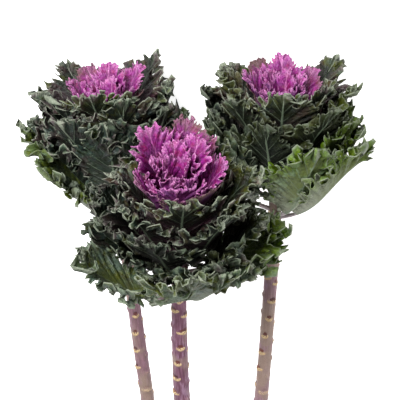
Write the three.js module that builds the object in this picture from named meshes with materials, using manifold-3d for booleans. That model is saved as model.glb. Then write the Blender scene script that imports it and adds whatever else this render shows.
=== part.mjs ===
// A bunch of three cut stems of ornamental kale, lying on a surface. Millimetres, +Z up.
// The stems point along -Y and the heads along +Y. Two heads lie side by side on the
// surface and the third lies on top of them, with its cut end down on the surface.
// Each plant is a bare stem with the scars of its stripped leaves, a head of green leaves
// grown round the top of that stem, and a purple heart of small fringed leaves.

import * as THREE from "three";
import { mergeVertices } from "three/addons/utils/BufferGeometryUtils.js";
import Module from "manifold-3d";

const wasm = await Module();
wasm.setup();

// ---------------------------------------------------------------- driving dimensions

const DEG = Math.PI / 180;
const GOLDEN_ANGLE = 137.508 * DEG;
const JOINT_GAP = 0.3; // between one node and the next along the stem
const RIB_STEPS = 24; // steps in which a curved midrib is summed

// Where the three plants lie, with angles in degrees. base is the point of the stem at the
// lowest leaf, slope and yaw turn the head's axis up from the surface and away from +Y, and
// cutEnd is the middle of the stem's lower end. An azimuth goes round the stem from the sky
// towards +X: lowAzimuths places the lowest green leaves one by one, and a spiral from
// spiralStart places the others. lift raises the lowest leaves.
const PLANTS = [
  {
    name: "front",
    seed: 13,
    base: [-11.1, 44.5, 104],
    slope: 19.6,
    yaw: 0.1,
    cutEnd: [1.4, -227.5, 7.3],
    stemRadius: { top: 6.2, bottom: 7.6 },
    headHeight: 157,
    greenLeaves: 23,
    heartLeaves: 10,
    lowAzimuths: [-75, 102, -168, 23, 11],
    lift: 0,
    spiralStart: 102,
    heartStart: 33,
    heartSize: 1.18,
  },
  {
    name: "left",
    seed: 6,
    base: [-58.1, 87.5, 47],
    slope: 5.6,
    yaw: -5.8,
    cutEnd: [-21.1, -225.5, 5.9],
    stemRadius: { top: 5.2, bottom: 6 },
    headHeight: 161,
    greenLeaves: 20,
    heartLeaves: 10,
    lowAzimuths: [104, -95, -120, 96, -177],
    lift: 18,
    spiralStart: 3,
    heartStart: 64,
    heartSize: 0.88,
  },
  {
    name: "right",
    seed: 12,
    base: [67.9, 94.5, 47],
    slope: 6,
    yaw: 2,
    cutEnd: [47.9, -227.5, 6.3],
    stemRadius: { top: 5.5, bottom: 6.4 },
    headHeight: 156,
    greenLeaves: 20,
    heartLeaves: 10,
    lowAzimuths: [54, 24, -79, -176, 76],
    lift: 9,
    spiralStart: -72,
    heartStart: -144,
    heartSize: 0.88,
  },
];

// A head is drawn for this height and scaled to each plant's own.
const NOMINAL_HEAD = 140;
const HEAD_MIDDLE = 0.62; // share of a head's height at which its leaves spread most

// The two kinds of leaf. A pair runs from a head's lowest leaf to its highest one. rise is
// the midrib's angle above the plane across the stem, fold the angle between the two halves
// of the blade, and tightest the smallest radius that a blade curls to round the head. A leaf
// on the head's sky side is longer by the share skyReach and stands steeper by the angle
// skyRise, and one on the ground side is shorter and flatter by them.
const GREEN = {
  height: [0, 53],
  length: [94.5, 76],
  halfWidth: [30.1, 24.2],
  skyReach: [0.08, -0.08],
  skyRise: 5,
  petioleShare: [0.17, 0.24],
  petioleHalfWidth: [2.7, 2.2],
  riseAtRoot: [7, 48],
  riseInMiddle: [40, 65],
  riseAtTip: [46, 34],
  fold: [12, 6],
  tightest: 34,
  lobeDepth: 0.14,
  lobesPerSide: 2.5,
  wavesPerSide: 1.25,
  waveHeight: [6.5, 5],
  ribHalf: [1.9, 0.55],
  edgeHalf: 0.42,
  steps: 5,
};
const HEART = {
  height: [62, 72],
  length: [61.6, 39.2],
  halfWidth: [22.3, 13.5],
  skyReach: [-0.2, -0.2],
  skyRise: 0,
  petioleShare: [0.26, 0.2],
  petioleHalfWidth: [2.2, 1.4],
  riseAtRoot: [42, 80],
  riseInMiddle: [66, 91],
  riseAtTip: [30, 61],
  fold: [5, 3],
  tightest: 11,
  lobeDepth: 0.14,
  lobesPerSide: 2.5,
  wavesPerSide: 1.25,
  waveHeight: [3.4, 2],
  ribHalf: [1.5, 0.5],
  edgeHalf: 0.42,
  steps: 5,
};

// What all leaves share: the blade swells towards its middle by a power that falls from foot
// to tip, and its midrib ends short of the tip.
const BLADE = { footPower: 1.35, tipPower: 0.65, ribReach: 0.8, ribPower: 1.6 };
// The waves grow from the midrib to the edge, and begin a little above the blade's foot.
const WAVE = { fromFoot: 0.2, edgePower: 1.5, variation: 0.2, phaseSpread: 0.7 };
const ANGLE_JITTER = 4 * DEG;
const SIZE_JITTER = 0.07;

// The top of the stem, inside the head, that the leaves grow from.
const CORE = { bottom: -3.7, top: 60, rings: 4, sides: 10, swell: 3.2, rootDepth: 2.6 };
// Its blunt tip, for the heart leaves. The waist is a share of its foot's radius and height.
const HEART_CORE = { top: 84, inset: 0.6, waistRadius: 0.85, waistHeight: 0.55, tipRadius: 3 };

// The cup-shaped wall between the green leaves and the heart: its radius goes from narrow to
// wide between two heights in the head, and closes quickly below them.
const CUP = { from: 64, to: 112, narrow: 5, wide: 34, closing: 2, greenGap: 2.6, heartGap: 0.7 };

// How softly leaves give way, as a length: to their neighbours as a whole, then at their
// waved edges, and at the cup. gap is what a leaf keeps clear of its neighbours.
const GIVE = { leaf: 11, edge: 2.2, cup: 2.5, gap: 1.1 };
// The lowest leaves are pressed a little flat by the weight on them.
const PRESSED = 0.35;
const SURFACE_FIRMNESS = 3;

// A scar is raised where the cosine of the angle from its middle goes above scarSpread.
const STEM = { sides: 8, scarSpacing: 11, scarHeight: 0.9, scarSpread: 0.7, scarEdge: 0.3 };

// ---------------------------------------------------------------- small helpers

const mix = (a, b, t) => a + (b - a) * t;
const smooth = (t) => {
  const u = Math.min(1, Math.max(0, t));
  return u * u * (3 - 2 * u);
};
const vector = (list) => new THREE.Vector3(...list);

/** A repeatable draw from -1 to 1 for one quality of one leaf of one plant. */
function draw(seed, leaf, quality) {
  const x = Math.sin(seed * 12.9898 + leaf * 78.233 + quality * 37.719) * 43758.5453;
  return 2 * (x - Math.floor(x)) - 1;
}

/** How far inside its own side a point at distance d goes when it gives way softly. */
const giveWay = (d, gap, give) => gap + give * Math.log1p(Math.exp((d - gap) / give));

// ---------------------------------------------------------------- where the plants lie

/** A plant with its head's axes: along the stem, towards the sky and towards +X. */
function placed(plant) {
  const slope = plant.slope * DEG;
  const yaw = plant.yaw * DEG;
  const along = new THREE.Vector3(
    Math.sin(yaw) * Math.cos(slope),
    Math.cos(yaw) * Math.cos(slope),
    Math.sin(slope),
  );
  const sky = new THREE.Vector3(0, 0, 1).addScaledVector(along, -along.z).normalize();
  const side = new THREE.Vector3().crossVectors(along, sky);
  const base = vector(plant.base);
  const size = plant.headHeight / NOMINAL_HEAD;
  return { ...plant, along, sky, side, base, size };
}

const [front, left, right] = PLANTS.map(placed);

/** The middle of a head's leaves. */
const headCentre = (plant) =>
  plant.base.clone().addScaledVector(plant.along, HEAD_MIDDLE * plant.headHeight);

/** The plane halfway between two heads, facing the first. */
function planeBetween(a, b) {
  const point = headCentre(a).add(headCentre(b)).multiplyScalar(0.5);
  const normal = headCentre(a).sub(headCentre(b)).normalize();
  return { point, normal, gap: GIVE.gap, firmness: 1 };
}

/** The plane that lies on the stems of the two lower plants. */
function planeOnStems() {
  const lift = left.stemRadius.top + STEM.scarHeight;
  const point = left.base.clone().addScaledVector(left.sky, lift);
  return { point, normal: left.sky, gap: GIVE.gap, firmness: 1 };
}

const surface = {
  point: new THREE.Vector3(),
  normal: new THREE.Vector3(0, 0, 1),
  gap: GREEN.edgeHalf - PRESSED,
  firmness: SURFACE_FIRMNESS,
};
front.limits = [planeBetween(front, left), planeBetween(front, right), planeOnStems()];
left.limits = [planeBetween(left, front), planeBetween(left, right), surface];
right.limits = [planeBetween(right, front), planeBetween(right, left), surface];

/** Moves a point back to its own side of its plant's limits, softly. */
function settle(point, plant, give) {
  for (const limit of plant.limits) {
    const d = point.clone().sub(limit.point).dot(limit.normal);
    const moved = giveWay(d, limit.gap, give / limit.firmness) - d;
    point.addScaledVector(limit.normal, moved);
  }
  return point;
}

/** Keeps a point of a green leaf outside the heart's cup, or one of the heart inside. */
function keepToCup(point, plant, inside) {
  const from = point.clone().sub(plant.base);
  const height = from.dot(plant.along);
  const h = height / plant.size;
  const out = from.addScaledVector(plant.along, -height);
  const r = out.length();
  const wall =
    mix(CUP.narrow, CUP.wide, Math.max(0, h - CUP.from) / (CUP.to - CUP.from)) -
    CUP.closing * Math.max(0, CUP.from - h);
  const d = inside ? wall * plant.size - r : r - wall * plant.size;
  const gap = inside ? CUP.heartGap : CUP.greenGap;
  const moved = giveWay(d, gap, GIVE.cup) - d;
  return point.addScaledVector(out.normalize(), inside ? -moved : moved);
}

// ---------------------------------------------------------------- one leaf

/** How many leaves of a kind a plant has. */
const leafCount = (plant, kind) => (kind === GREEN ? plant.greenLeaves : plant.heartLeaves);

/** The sizes of leaf k of a kind on a plant. */
function leafOf(plant, kind, k) {
  const t = k / (leafCount(plant, kind) - 1);
  const low = kind === GREEN ? plant.lowAzimuths : [];
  const start = kind === GREEN ? plant.spiralStart : plant.heartStart;
  const key = kind === GREEN ? k : 100 + k;
  const size = plant.size * (kind === HEART ? plant.heartSize : 1);
  const vary = (quality, amount) => 1 + amount * draw(plant.seed, key, quality);
  const turn = (quality) => ANGLE_JITTER * draw(plant.seed, key, quality);
  const azimuth =
    (k < low.length ? low[k] * DEG : start * DEG + (k - low.length) * GOLDEN_ANGLE) + turn(1);
  const towardsSky = Math.cos(azimuth);
  const reach = 1 + mix(...kind.skyReach, t) * towardsSky;
  const lift =
    (kind === GREEN ? plant.lift * (1 - t) * DEG : 0) + kind.skyRise * DEG * towardsSky;
  return {
    kind,
    azimuth,
    height: mix(...kind.height, t) * plant.size,
    length: mix(...kind.length, t) * size * vary(2, SIZE_JITTER) * reach,
    halfWidth: mix(...kind.halfWidth, t) * size * vary(3, SIZE_JITTER),
    petioleShare: mix(...kind.petioleShare, t),
    petioleHalfWidth: mix(...kind.petioleHalfWidth, t),
    rise: [
      mix(...kind.riseAtRoot, t) * DEG + lift + turn(4),
      mix(...kind.riseInMiddle, t) * DEG + lift + turn(5),
      mix(...kind.riseAtTip, t) * DEG + lift / 2 + turn(6),
    ],
    fold: mix(...kind.fold, t) * DEG,
    waveHeight: mix(...kind.waveHeight, t) * vary(7, WAVE.variation),
    wavePhase: WAVE.phaseSpread * draw(plant.seed, key, 8),
  };
}

/** Angle of the midrib above the plane across the stem, at share u of its length. */
function riseAt(leaf, u) {
  const [a, b, c] = leaf.rise;
  return u < 0.5 ? mix(a, b, smooth(2 * u)) : mix(b, c, smooth(2 * u - 1));
}

/** Radius of the stem's top at a height in the head. */
const coreRadius = (plant, height) =>
  plant.stemRadius.top + CORE.swell * smooth(height / (CORE.top * plant.size));

/** The leaf's own frame at a distance along its midrib: a point, the directions across the
 *  leaf and out of its upper face, and the radius that the round of the head has there. */
function ribFrame(plant, leaf, distance) {
  const outward = plant.side
    .clone()
    .multiplyScalar(Math.sin(leaf.azimuth))
    .addScaledVector(plant.sky, Math.cos(leaf.azimuth));
  let r = coreRadius(plant, leaf.height) - CORE.rootDepth;
  let h = leaf.height;
  const steps = Math.max(1, Math.round((RIB_STEPS * distance) / leaf.length));
  for (let i = 0; i < steps; i++) {
    const rise = riseAt(leaf, ((i + 0.5) / steps) * (distance / leaf.length));
    r += (Math.cos(rise) * distance) / steps;
    h += (Math.sin(rise) * distance) / steps;
  }
  const rise = riseAt(leaf, distance / leaf.length);
  return {
    point: plant.base.clone().addScaledVector(outward, r).addScaledVector(plant.along, h),
    across: new THREE.Vector3().crossVectors(plant.along, outward).negate(),
    normal: outward
      .clone()
      .multiplyScalar(-Math.sin(rise))
      .addScaledVector(plant.along, Math.cos(rise)),
    curl: Math.max(leaf.kind.tightest, r / Math.sin(rise)),
  };
}

/** The flat pattern: midrib root and outline point at share q of the blade, or of the
 *  petiole where q is below 0. Each is [across, along]. */
function pattern(leaf, q) {
  const bladeStart = leaf.petioleShare * leaf.length;
  if (q <= 0) {
    const y = bladeStart * (1 + q);
    return { root: [0, y], edge: [leaf.petioleHalfWidth, y] };
  }
  const blade = leaf.length - bladeStart;
  const belly = Math.sin(Math.PI * q) ** mix(BLADE.footPower, BLADE.tipPower, q);
  const x = leaf.petioleHalfWidth * (1 - q) + leaf.halfWidth * belly;
  const y = bladeStart + (blade * (1 - Math.cos(Math.PI * q))) / 2;
  const rib = bladeStart + BLADE.ribReach * blade * q ** BLADE.ribPower;
  return { root: [0, rib], edge: [x, y] };
}

/** A point of the leaf's middle surface. s runs from the midrib to the edge, and turn
 *  from 0 up the right side to the tip at 1 and down the left side to 2. */
function leafPoint(plant, leaf, s, turn) {
  const side = turn <= 1 ? 1 : -1;
  const q = turn <= 1 ? turn : 2 - turn;
  const { root, edge } = pattern(leaf, q);
  const inBlade = smooth(q / WAVE.fromFoot);
  const lobe = -Math.cos(2 * Math.PI * leaf.kind.lobesPerSide * turn);
  const reach = s * (1 + inBlade * leaf.kind.lobeDepth * lobe * s);
  const x = mix(root[0], edge[0], reach);
  const y = mix(root[1], edge[1], reach);
  const { point, across, normal, curl } = ribFrame(plant, leaf, y);
  const bend = leaf.fold + x / curl;
  point
    .addScaledVector(across, side * curl * (Math.sin(bend) - Math.sin(leaf.fold)))
    .addScaledVector(normal, curl * (Math.cos(leaf.fold) - Math.cos(bend)));
  settle(point, plant, GIVE.leaf);
  const wave = Math.sin(2 * Math.PI * leaf.kind.wavesPerSide * turn + leaf.wavePhase);
  const height = leaf.waveHeight * inBlade * s ** WAVE.edgePower * wave;
  point
    .addScaledVector(normal, height * Math.cos(bend))
    .addScaledVector(across, -side * height * Math.sin(bend));
  keepToCup(point, plant, leaf.kind === HEART);
  return settle(point, plant, GIVE.edge);
}

/** The leaf as one thin closed solid, waved alike on both faces. */
function leafSolid(plant, leaf) {
  const n = leaf.kind.steps;
  const rows = 2 * n + 3; // the petiole adds one row at each end
  const turnOf = (row) => (row === 0 ? -1 : row === rows - 1 ? 3 : (row - 1) / n);
  const ribCount = n + 2;
  const rib = (row) => Math.min(row, rows - 1 - row);
  const edge = (row) => ribCount + row;
  const middle = [];
  const half = [];
  for (let i = 0; i < ribCount; i++) {
    middle.push(leafPoint(plant, leaf, 0, turnOf(i)));
    half.push(mix(...leaf.kind.ribHalf, i / (ribCount - 1)));
  }
  for (let row = 0; row < rows; row++) {
    middle.push(leafPoint(plant, leaf, 1, turnOf(row)));
    half.push(leaf.kind.edgeHalf);
  }
  const faces = [];
  for (let row = 0; row < rows - 1; row++) {
    const [a, b, c, d] = [rib(row), edge(row), edge(row + 1), rib(row + 1)];
    faces.push([a, b, c], [a, c, d]);
  }
  const rim = [...Array(rows).keys()].map(edge).concat(rib(0));
  return thickened(middle, half, faces, rim);
}

/** Direction at each point of a sheet, square to the faces around it. */
function sheetNormals(points, faces) {
  const normals = points.map(() => new THREE.Vector3());
  for (const [a, b, c] of faces) {
    const u = points[b].clone().sub(points[a]);
    const v = points[c].clone().sub(points[a]);
    const square = u.cross(v);
    for (const i of [a, b, c]) normals[i].add(square);
  }
  return normals.map((normal) => normal.normalize());
}

/** A closed solid from a sheet: both its faces moved out by half its thickness, and the
 *  rim between them. No point goes below the surface that the bunch lies on. */
function thickened(points, half, faces, rim) {
  const normals = sheetNormals(points, faces);
  const count = points.length;
  const positions = [];
  for (const side of [1, -1]) {
    points.forEach((p, i) => {
      const moved = p.clone().addScaledVector(normals[i], side * half[i]);
      positions.push(moved.x, moved.y, Math.max(0, moved.z));
    });
  }
  const index = [];
  for (const [a, b, c] of faces) {
    index.push(a, b, c, a + count, c + count, b + count);
  }
  rim.forEach((a, i) => {
    const b = rim[(i + 1) % rim.length];
    index.push(a, a + count, b + count, a, b + count, b);
  });
  return solidFrom(positions, index);
}

// ---------------------------------------------------------------- solids and meshes

/** A manifold solid from positions and triangle indices. */
function solidFrom(positions, index) {
  return new wasm.Manifold(
    new wasm.Mesh({
      numProp: 3,
      vertProperties: new Float32Array(positions),
      triVerts: new Uint32Array(index),
    }),
  );
}

/** A manifold solid from a closed three.js geometry. */
function solidOf(geometry) {
  const bare = geometry.clone();
  bare.deleteAttribute("normal");
  bare.deleteAttribute("uv");
  const merged = mergeVertices(bare, 1e-4);
  return solidFrom(merged.attributes.position.array, merged.index.array);
}

/** A named mesh from a manifold solid. */
function meshOf(name, solid, material) {
  const { vertProperties, triVerts, numProp } = solid.getMesh();
  const geometry = new THREE.BufferGeometry();
  const positions = new THREE.BufferAttribute(new Float32Array(vertProperties), numProp);
  geometry.setAttribute("position", positions);
  geometry.setIndex(new THREE.BufferAttribute(new Uint32Array(triVerts), 1));
  geometry.computeVertexNormals();
  const mesh = new THREE.Mesh(geometry, material);
  mesh.name = name;
  return mesh;
}

/** A turned solid standing along a plant's axis. profile holds [radius, height] pairs. */
function turnedSolid(plant, profile, sides) {
  const points = profile.map(([r, h]) => new THREE.Vector2(r, h));
  const geometry = new THREE.LatheGeometry(points, sides);
  // The lathe turns round its own Y, which goes along the plant's axis.
  const frame = new THREE.Matrix4().makeBasis(plant.side, plant.along, plant.sky);
  frame.setPosition(plant.base);
  return solidOf(geometry.applyMatrix4(frame));
}

// ---------------------------------------------------------------- sub-parts

/** The stem's top, which the green leaves are rooted in. */
function greenCore(plant) {
  const top = CORE.top * plant.size;
  const profile = [[0, CORE.bottom]];
  for (let i = 0; i <= CORE.rings; i++) {
    const h = mix(CORE.bottom, top, i / CORE.rings);
    profile.push([coreRadius(plant, h), h]);
  }
  profile.push([0, top]);
  return turnedSolid(plant, profile, CORE.sides);
}

/** The stem's blunt tip, which the heart leaves are rooted in. */
function heartCore(plant) {
  const bottom = CORE.top * plant.size + JOINT_GAP;
  const top = HEART_CORE.top * plant.size;
  const radius = coreRadius(plant, bottom) - HEART_CORE.inset;
  const waist = HEART_CORE.waistRadius * radius;
  const profile = [
    [0, bottom],
    [radius, bottom],
    [waist, mix(bottom, top, HEART_CORE.waistHeight)],
    [HEART_CORE.tipRadius, top],
    [0, top],
  ];
  return turnedSolid(plant, profile, CORE.sides);
}

/** A head's leaves of one kind, grown together with the part of the stem they sit on. */
function leafHead(plant, kind, core) {
  const solids = [core];
  for (let k = 0; k < leafCount(plant, kind); k++) {
    solids.push(leafSolid(plant, leafOf(plant, kind, k)));
  }
  return wholeBody(wasm.Manifold.union(solids));
}

/** The main body of a union, without loose scraps and with its sealed hollows filled. */
function wholeBody(solid) {
  const bodies = solid.decompose();
  return bodies.reduce((most, body) => (body.volume() > most.volume() ? body : most));
}

/** The bare stem: a round stalk from the cut end to the lowest leaf, bent a little, with
 *  the raised scars of the leaves stripped from it in their spiral. */
function stemSolid(plant) {
  const endOfStem = plant.base.clone().addScaledVector(plant.along, CORE.bottom - JOINT_GAP);
  const cut = vector(plant.cutEnd);
  const length = endOfStem.distanceTo(cut);
  const control = endOfStem.clone().addScaledVector(plant.along, -length / 2);
  const curve = new THREE.QuadraticBezierCurve3(cut, control, endOfStem);
  const scars = Math.floor(length / STEM.scarSpacing);
  const rings = 2 * scars;
  const positions = [];
  for (let i = 0; i <= rings; i++) {
    const t = i / rings;
    const centre = curve.getPoint(t);
    const tangent = curve.getTangent(t);
    const sky = new THREE.Vector3(0, 0, 1).addScaledVector(tangent, -tangent.z).normalize();
    const side = new THREE.Vector3().crossVectors(tangent, sky);
    const radius = mix(plant.stemRadius.bottom, plant.stemRadius.top, t);
    const scarAngle = ((i - 1) / 2) * GOLDEN_ANGLE;
    for (let j = 0; j < STEM.sides; j++) {
      const angle = (j / STEM.sides) * 2 * Math.PI;
      const nearness = (Math.cos(angle - scarAngle) - STEM.scarSpread) / STEM.scarEdge;
      const raised = i % 2 === 1 ? STEM.scarHeight * smooth(nearness) : 0;
      const point = centre
        .clone()
        .addScaledVector(side, (radius + raised) * Math.sin(angle))
        .addScaledVector(sky, (radius + raised) * Math.cos(angle));
      positions.push(point.x, point.y, Math.max(0, point.z));
    }
  }
  const index = [];
  for (let i = 0; i < rings; i++) {
    for (let j = 0; j < STEM.sides; j++) {
      const next = (j + 1) % STEM.sides;
      const [a, b] = [i * STEM.sides + j, i * STEM.sides + next];
      const [c, d] = [a + STEM.sides, b + STEM.sides];
      index.push(a, b, c, b, d, c);
    }
  }
  const last = rings * STEM.sides;
  for (let j = 1; j < STEM.sides - 1; j++) {
    index.push(0, j + 1, j, last, last + j, last + j + 1);
  }
  return solidFrom(positions, index);
}

// ---------------------------------------------------------------- materials

const stemBark = new THREE.MeshStandardMaterial({ color: "#7d5a68", roughness: 0.6 });
const leafGreen = new THREE.MeshStandardMaterial({ color: "#46573f", roughness: 0.6 });
const heartPurple = new THREE.MeshStandardMaterial({ color: "#c342a2", roughness: 0.55 });

// ---------------------------------------------------------------- the bunch

const bunch = new THREE.Group();
for (const plant of [front, left, right]) {
  bunch.add(
    meshOf(`stem_${plant.name}`, stemSolid(plant), stemBark),
    meshOf(`leaves_${plant.name}`, leafHead(plant, GREEN, greenCore(plant)), leafGreen),
    meshOf(`heart_${plant.name}`, leafHead(plant, HEART, heartCore(plant)), heartPurple),
  );
}

export default bunch;
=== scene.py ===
"""A bunch of three cut stems of ornamental kale, lying on a pale surface, dressed for rendering.

Every plant is a stem with the scars of its stripped leaves, a head of green leaves round the
top of that stem, and a purple heart. A leaf is one curved sheet, folded round its head, cut
into lobes and teeth, and ruffled towards its edge. Sizes are in millimetres and degrees.
"""

import logging
import math
from dataclasses import dataclass, field
from enum import Enum
from typing import Any

import bpy
import numpy as np
from mathutils import Matrix, Vector


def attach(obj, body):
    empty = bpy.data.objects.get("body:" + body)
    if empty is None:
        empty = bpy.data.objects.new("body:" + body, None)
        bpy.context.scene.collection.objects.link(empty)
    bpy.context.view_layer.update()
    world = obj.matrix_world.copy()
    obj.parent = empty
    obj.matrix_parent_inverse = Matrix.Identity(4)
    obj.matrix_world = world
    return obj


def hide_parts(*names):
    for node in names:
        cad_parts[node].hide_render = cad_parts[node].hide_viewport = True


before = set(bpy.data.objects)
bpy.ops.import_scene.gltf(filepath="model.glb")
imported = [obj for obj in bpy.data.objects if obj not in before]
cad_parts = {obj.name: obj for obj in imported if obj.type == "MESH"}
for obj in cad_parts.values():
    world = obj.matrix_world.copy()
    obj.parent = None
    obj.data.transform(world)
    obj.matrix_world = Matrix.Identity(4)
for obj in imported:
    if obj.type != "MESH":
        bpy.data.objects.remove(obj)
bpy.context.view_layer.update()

LOG = logging.getLogger("kale")
MM = 0.001
BODY = "root"
GOLDEN_ANGLE = math.radians(137.508)

# The far digits of a sine serve as repeatable random values. These numbers spread its inputs.
SEED_SPREAD, LEAF_SPREAD, QUALITY_SPREAD = 12.9898, 78.233, 37.719
PLACE_SPREAD, KEY_SPREAD = 127.1, 311.7
FAR_DIGITS = 43758.5453

Array = np.ndarray
Pair = tuple[float, float]
Triple = tuple[float, float, float]


# ------------------------------------------------------------------ small helpers


class Quality(Enum):
    """What is drawn once for a leaf."""

    AZIMUTH = 1
    LENGTH = 2
    WIDTH = 3
    RISE_AT_ROOT = 4
    RISE_IN_MIDDLE = 5
    RISE_AT_TIP = 6
    WAVE_HEIGHT = 7
    WAVE_PHASE = 8
    WARMTH = 12


class Line(Enum):
    """What wanders along the edge of a leaf."""

    ROWS = 0
    CUT = 3
    TWIST = 7
    BOW = 9
    FOLD = 13
    CLUSTER = 15


def mix(a: Any, b: Any, t: Any) -> Any:
    """Returns the value at share t of the way from a to b."""
    return a + (b - a) * t


def smooth(t: Any) -> Any:
    """Returns t eased from 0 to 1, flat at both ends."""
    u = np.clip(t, 0.0, 1.0)
    return u * u * (3 - 2 * u)


def unit(v: Array) -> Array:
    """Returns vectors scaled to length 1 along their last axis."""
    return v / np.maximum(np.linalg.norm(v, axis=-1, keepdims=True), 1e-9)


def draw(seed: int, leaf: int, quality: Quality) -> float:
    """A repeatable draw.

    Args:
        seed: The plant's seed.
        leaf: The leaf's number on the plant.
        quality: What is drawn.

    Returns:
        A value from -1 to 1.
    """
    spread = seed * SEED_SPREAD + leaf * LEAF_SPREAD + quality.value * QUALITY_SPREAD
    x = math.sin(spread) * FAR_DIGITS
    return 2 * (x - math.floor(x)) - 1


def wander(x: Array, key: float) -> Array:
    """Smooth random values along a line.

    Args:
        x: Places along the line, one whole step between independent values.
        key: Picks one line of values from many.

    Returns:
        Values from -1 to 1 at those places.
    """
    whole = np.floor(x)
    ends = [np.sin((whole + k) * PLACE_SPREAD + key * KEY_SPREAD) * FAR_DIGITS for k in (0, 1)]
    low, high = [2 * (end - np.floor(end)) - 1 for end in ends]
    return mix(low, high, smooth(x - whole))


def give_way(d: Array, gap: float, give: float) -> Array:
    """How far inside its own side a point at distance d goes when it gives way softly."""
    return gap + give * np.logaddexp(0.0, (d - gap) / give)


def one_side(turn: Array) -> Array:
    """The place along one side of a blade, for places round the whole of it."""
    return np.where(turn <= 1, turn, 2 - turn)


def linear(shade: str) -> tuple[float, float, float, float]:
    """Turns a screen colour into the light values that shaders take.

    Args:
        shade: The colour, written like "#7d5a68".

    Returns:
        Red, green, blue and an alpha of 1.
    """
    parts = [int(shade[i : i + 2], 16) / 255 for i in (1, 3, 5)]
    light = [p / 12.92 if p <= 0.04045 else ((p + 0.055) / 1.055) ** 2.4 for p in parts]
    return (*light, 1.0)


# ------------------------------------------------------------------ leaves and plants


class Tier(Enum):
    """The two kinds of leaf on a plant. The value begins the name of its CAD node."""

    GREEN = "leaves"
    HEART = "heart"


@dataclass(frozen=True)
class Frill:
    """How the edge of a leaf is cut into lobes, and folded up and down.

    lobe_width is measured along the flat edge. Lobes stand in clusters with deeper cuts
    between them, and each fold of the edge takes fold_lobes of them. A depth is a share of
    the half width. A fold stands fold_height off the leaf, rising with fold_power, and its
    crest leans by fold_over. Each lobe curls by its own share of the curvature curl, over
    the outer curl_span, and twist tips one side of a lobe up. pucker is the relief between
    side veins.
    """

    lobe_width: float
    lobe_depth: float
    fold_lobes: float
    fold_height: float
    fold_over: float
    fold_power: float
    curl: float
    curl_span: float
    twist: float
    pucker: float
    cluster_lobes: float = 3.3
    cluster_depth: float = 0.1


@dataclass(frozen=True)
class LeafSizes:
    """The sizes of one kind of leaf. A pair runs from a head's lowest leaf to its highest."""

    tier: Tier
    height: Pair
    length: Pair
    half_width: Pair
    petiole_share: Pair
    petiole_half_width: Pair
    rise_at_root: Pair
    rise_in_middle: Pair
    rise_at_tip: Pair
    fold: Pair
    sky_reach: Pair
    sky_rise: float
    tightest: float
    wave_height: Pair
    rib_half: Pair
    edge_half: float
    petiole_rows: int
    frill: Frill


GREEN = LeafSizes(
    tier=Tier.GREEN,
    height=(0, 53),
    length=(94.5, 76),
    half_width=(30.1, 24.2),
    petiole_share=(0.17, 0.24),
    petiole_half_width=(2.7, 2.2),
    rise_at_root=(7, 48),
    rise_in_middle=(40, 65),
    rise_at_tip=(46, 34),
    fold=(12, 6),
    sky_reach=(0.08, -0.08),
    sky_rise=5,
    tightest=34,
    wave_height=(6.5, 5),
    rib_half=(1.9, 0.55),
    edge_half=0.3,
    petiole_rows=9,
    frill=Frill(
        lobe_width=4.3,
        lobe_depth=0.23,
        fold_lobes=2.4,
        fold_height=3.0,
        fold_over=1.0,
        fold_power=2.0,
        curl=0.42,
        curl_span=7,
        twist=1.7,
        pucker=0.8,
    ),
)
HEART = LeafSizes(
    tier=Tier.HEART,
    height=(62, 72),
    length=(61.6, 39.2),
    half_width=(22.3, 13.5),
    petiole_share=(0.26, 0.2),
    petiole_half_width=(2.2, 1.4),
    rise_at_root=(42, 80),
    rise_in_middle=(66, 91),
    rise_at_tip=(30, 61),
    fold=(5, 3),
    sky_reach=(-0.2, -0.2),
    sky_rise=0,
    tightest=11,
    wave_height=(3.4, 2),
    rib_half=(1.5, 0.5),
    edge_half=0.26,
    petiole_rows=6,
    frill=Frill(
        lobe_width=3.0,
        lobe_depth=0.17,
        fold_lobes=2.3,
        fold_height=1.7,
        fold_over=0.5,
        fold_power=1.7,
        curl=0.3,
        curl_span=4,
        twist=0.6,
        pucker=0.4,
    ),
)


@dataclass(frozen=True)
class Blade:
    """What all leaves share: the flat outline, the midrib, the waves and the draws."""

    foot_power: float = 1.35
    tip_power: float = 0.65
    rib_reach: float = 0.8
    rib_power: float = 1.6
    outline_depth: float = 0.14
    outline_lobes: float = 2.5
    waves_per_side: float = 1.25
    wave_from_foot: float = 0.2
    wave_edge_power: float = 1.5
    wave_variation: float = 0.2
    phase_spread: float = 0.7
    angle_jitter: float = 4.0
    size_jitter: float = 0.07


@dataclass(frozen=True)
class Lobing:
    """What all lobes share: the form of one, and how far they differ, as shares.

    A lobe is a finger with flanks and small teeth, and spare is how far it stands past the
    flat outline. The second swing of the folds is a share of the first, and slower.
    """

    finger: float = 0.08
    flank: float = 0.22
    teeth: float = 0.13
    teeth_per_lobe: int = 3
    spare: float = 0.13
    depth_variation: float = 0.6
    cluster_power: float = 1.3
    cluster_variation: float = 0.5
    cluster_grain: float = 3
    vein_lobes: int = 3
    bow: float = 1.3
    curl_from: float = 0.35
    fold_variation: float = 0.4
    second_swing: float = 0.35
    second_pace: float = 0.37
    steep_power: int = 3


@dataclass(frozen=True)
class Core:
    """The stem's top inside a head, and the cup-shaped wall between greens and heart."""

    top: float = 60
    swell: float = 3.2
    root_depth: float = 2.6
    cup_from: float = 64
    cup_to: float = 112
    cup_narrow: float = 5
    cup_wide: float = 34
    cup_closing: float = 2
    green_gap: float = 2.6
    heart_gap: float = 0.7


@dataclass(frozen=True)
class Give:
    """How softly leaves give way, as lengths, and what they keep clear of neighbours."""

    leaf: float = 11
    edge: float = 2.2
    cup: float = 2.5
    face: float = 0.15
    gap: float = 1.1
    surface_gap: float = 0.07
    surface_firmness: float = 3


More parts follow.
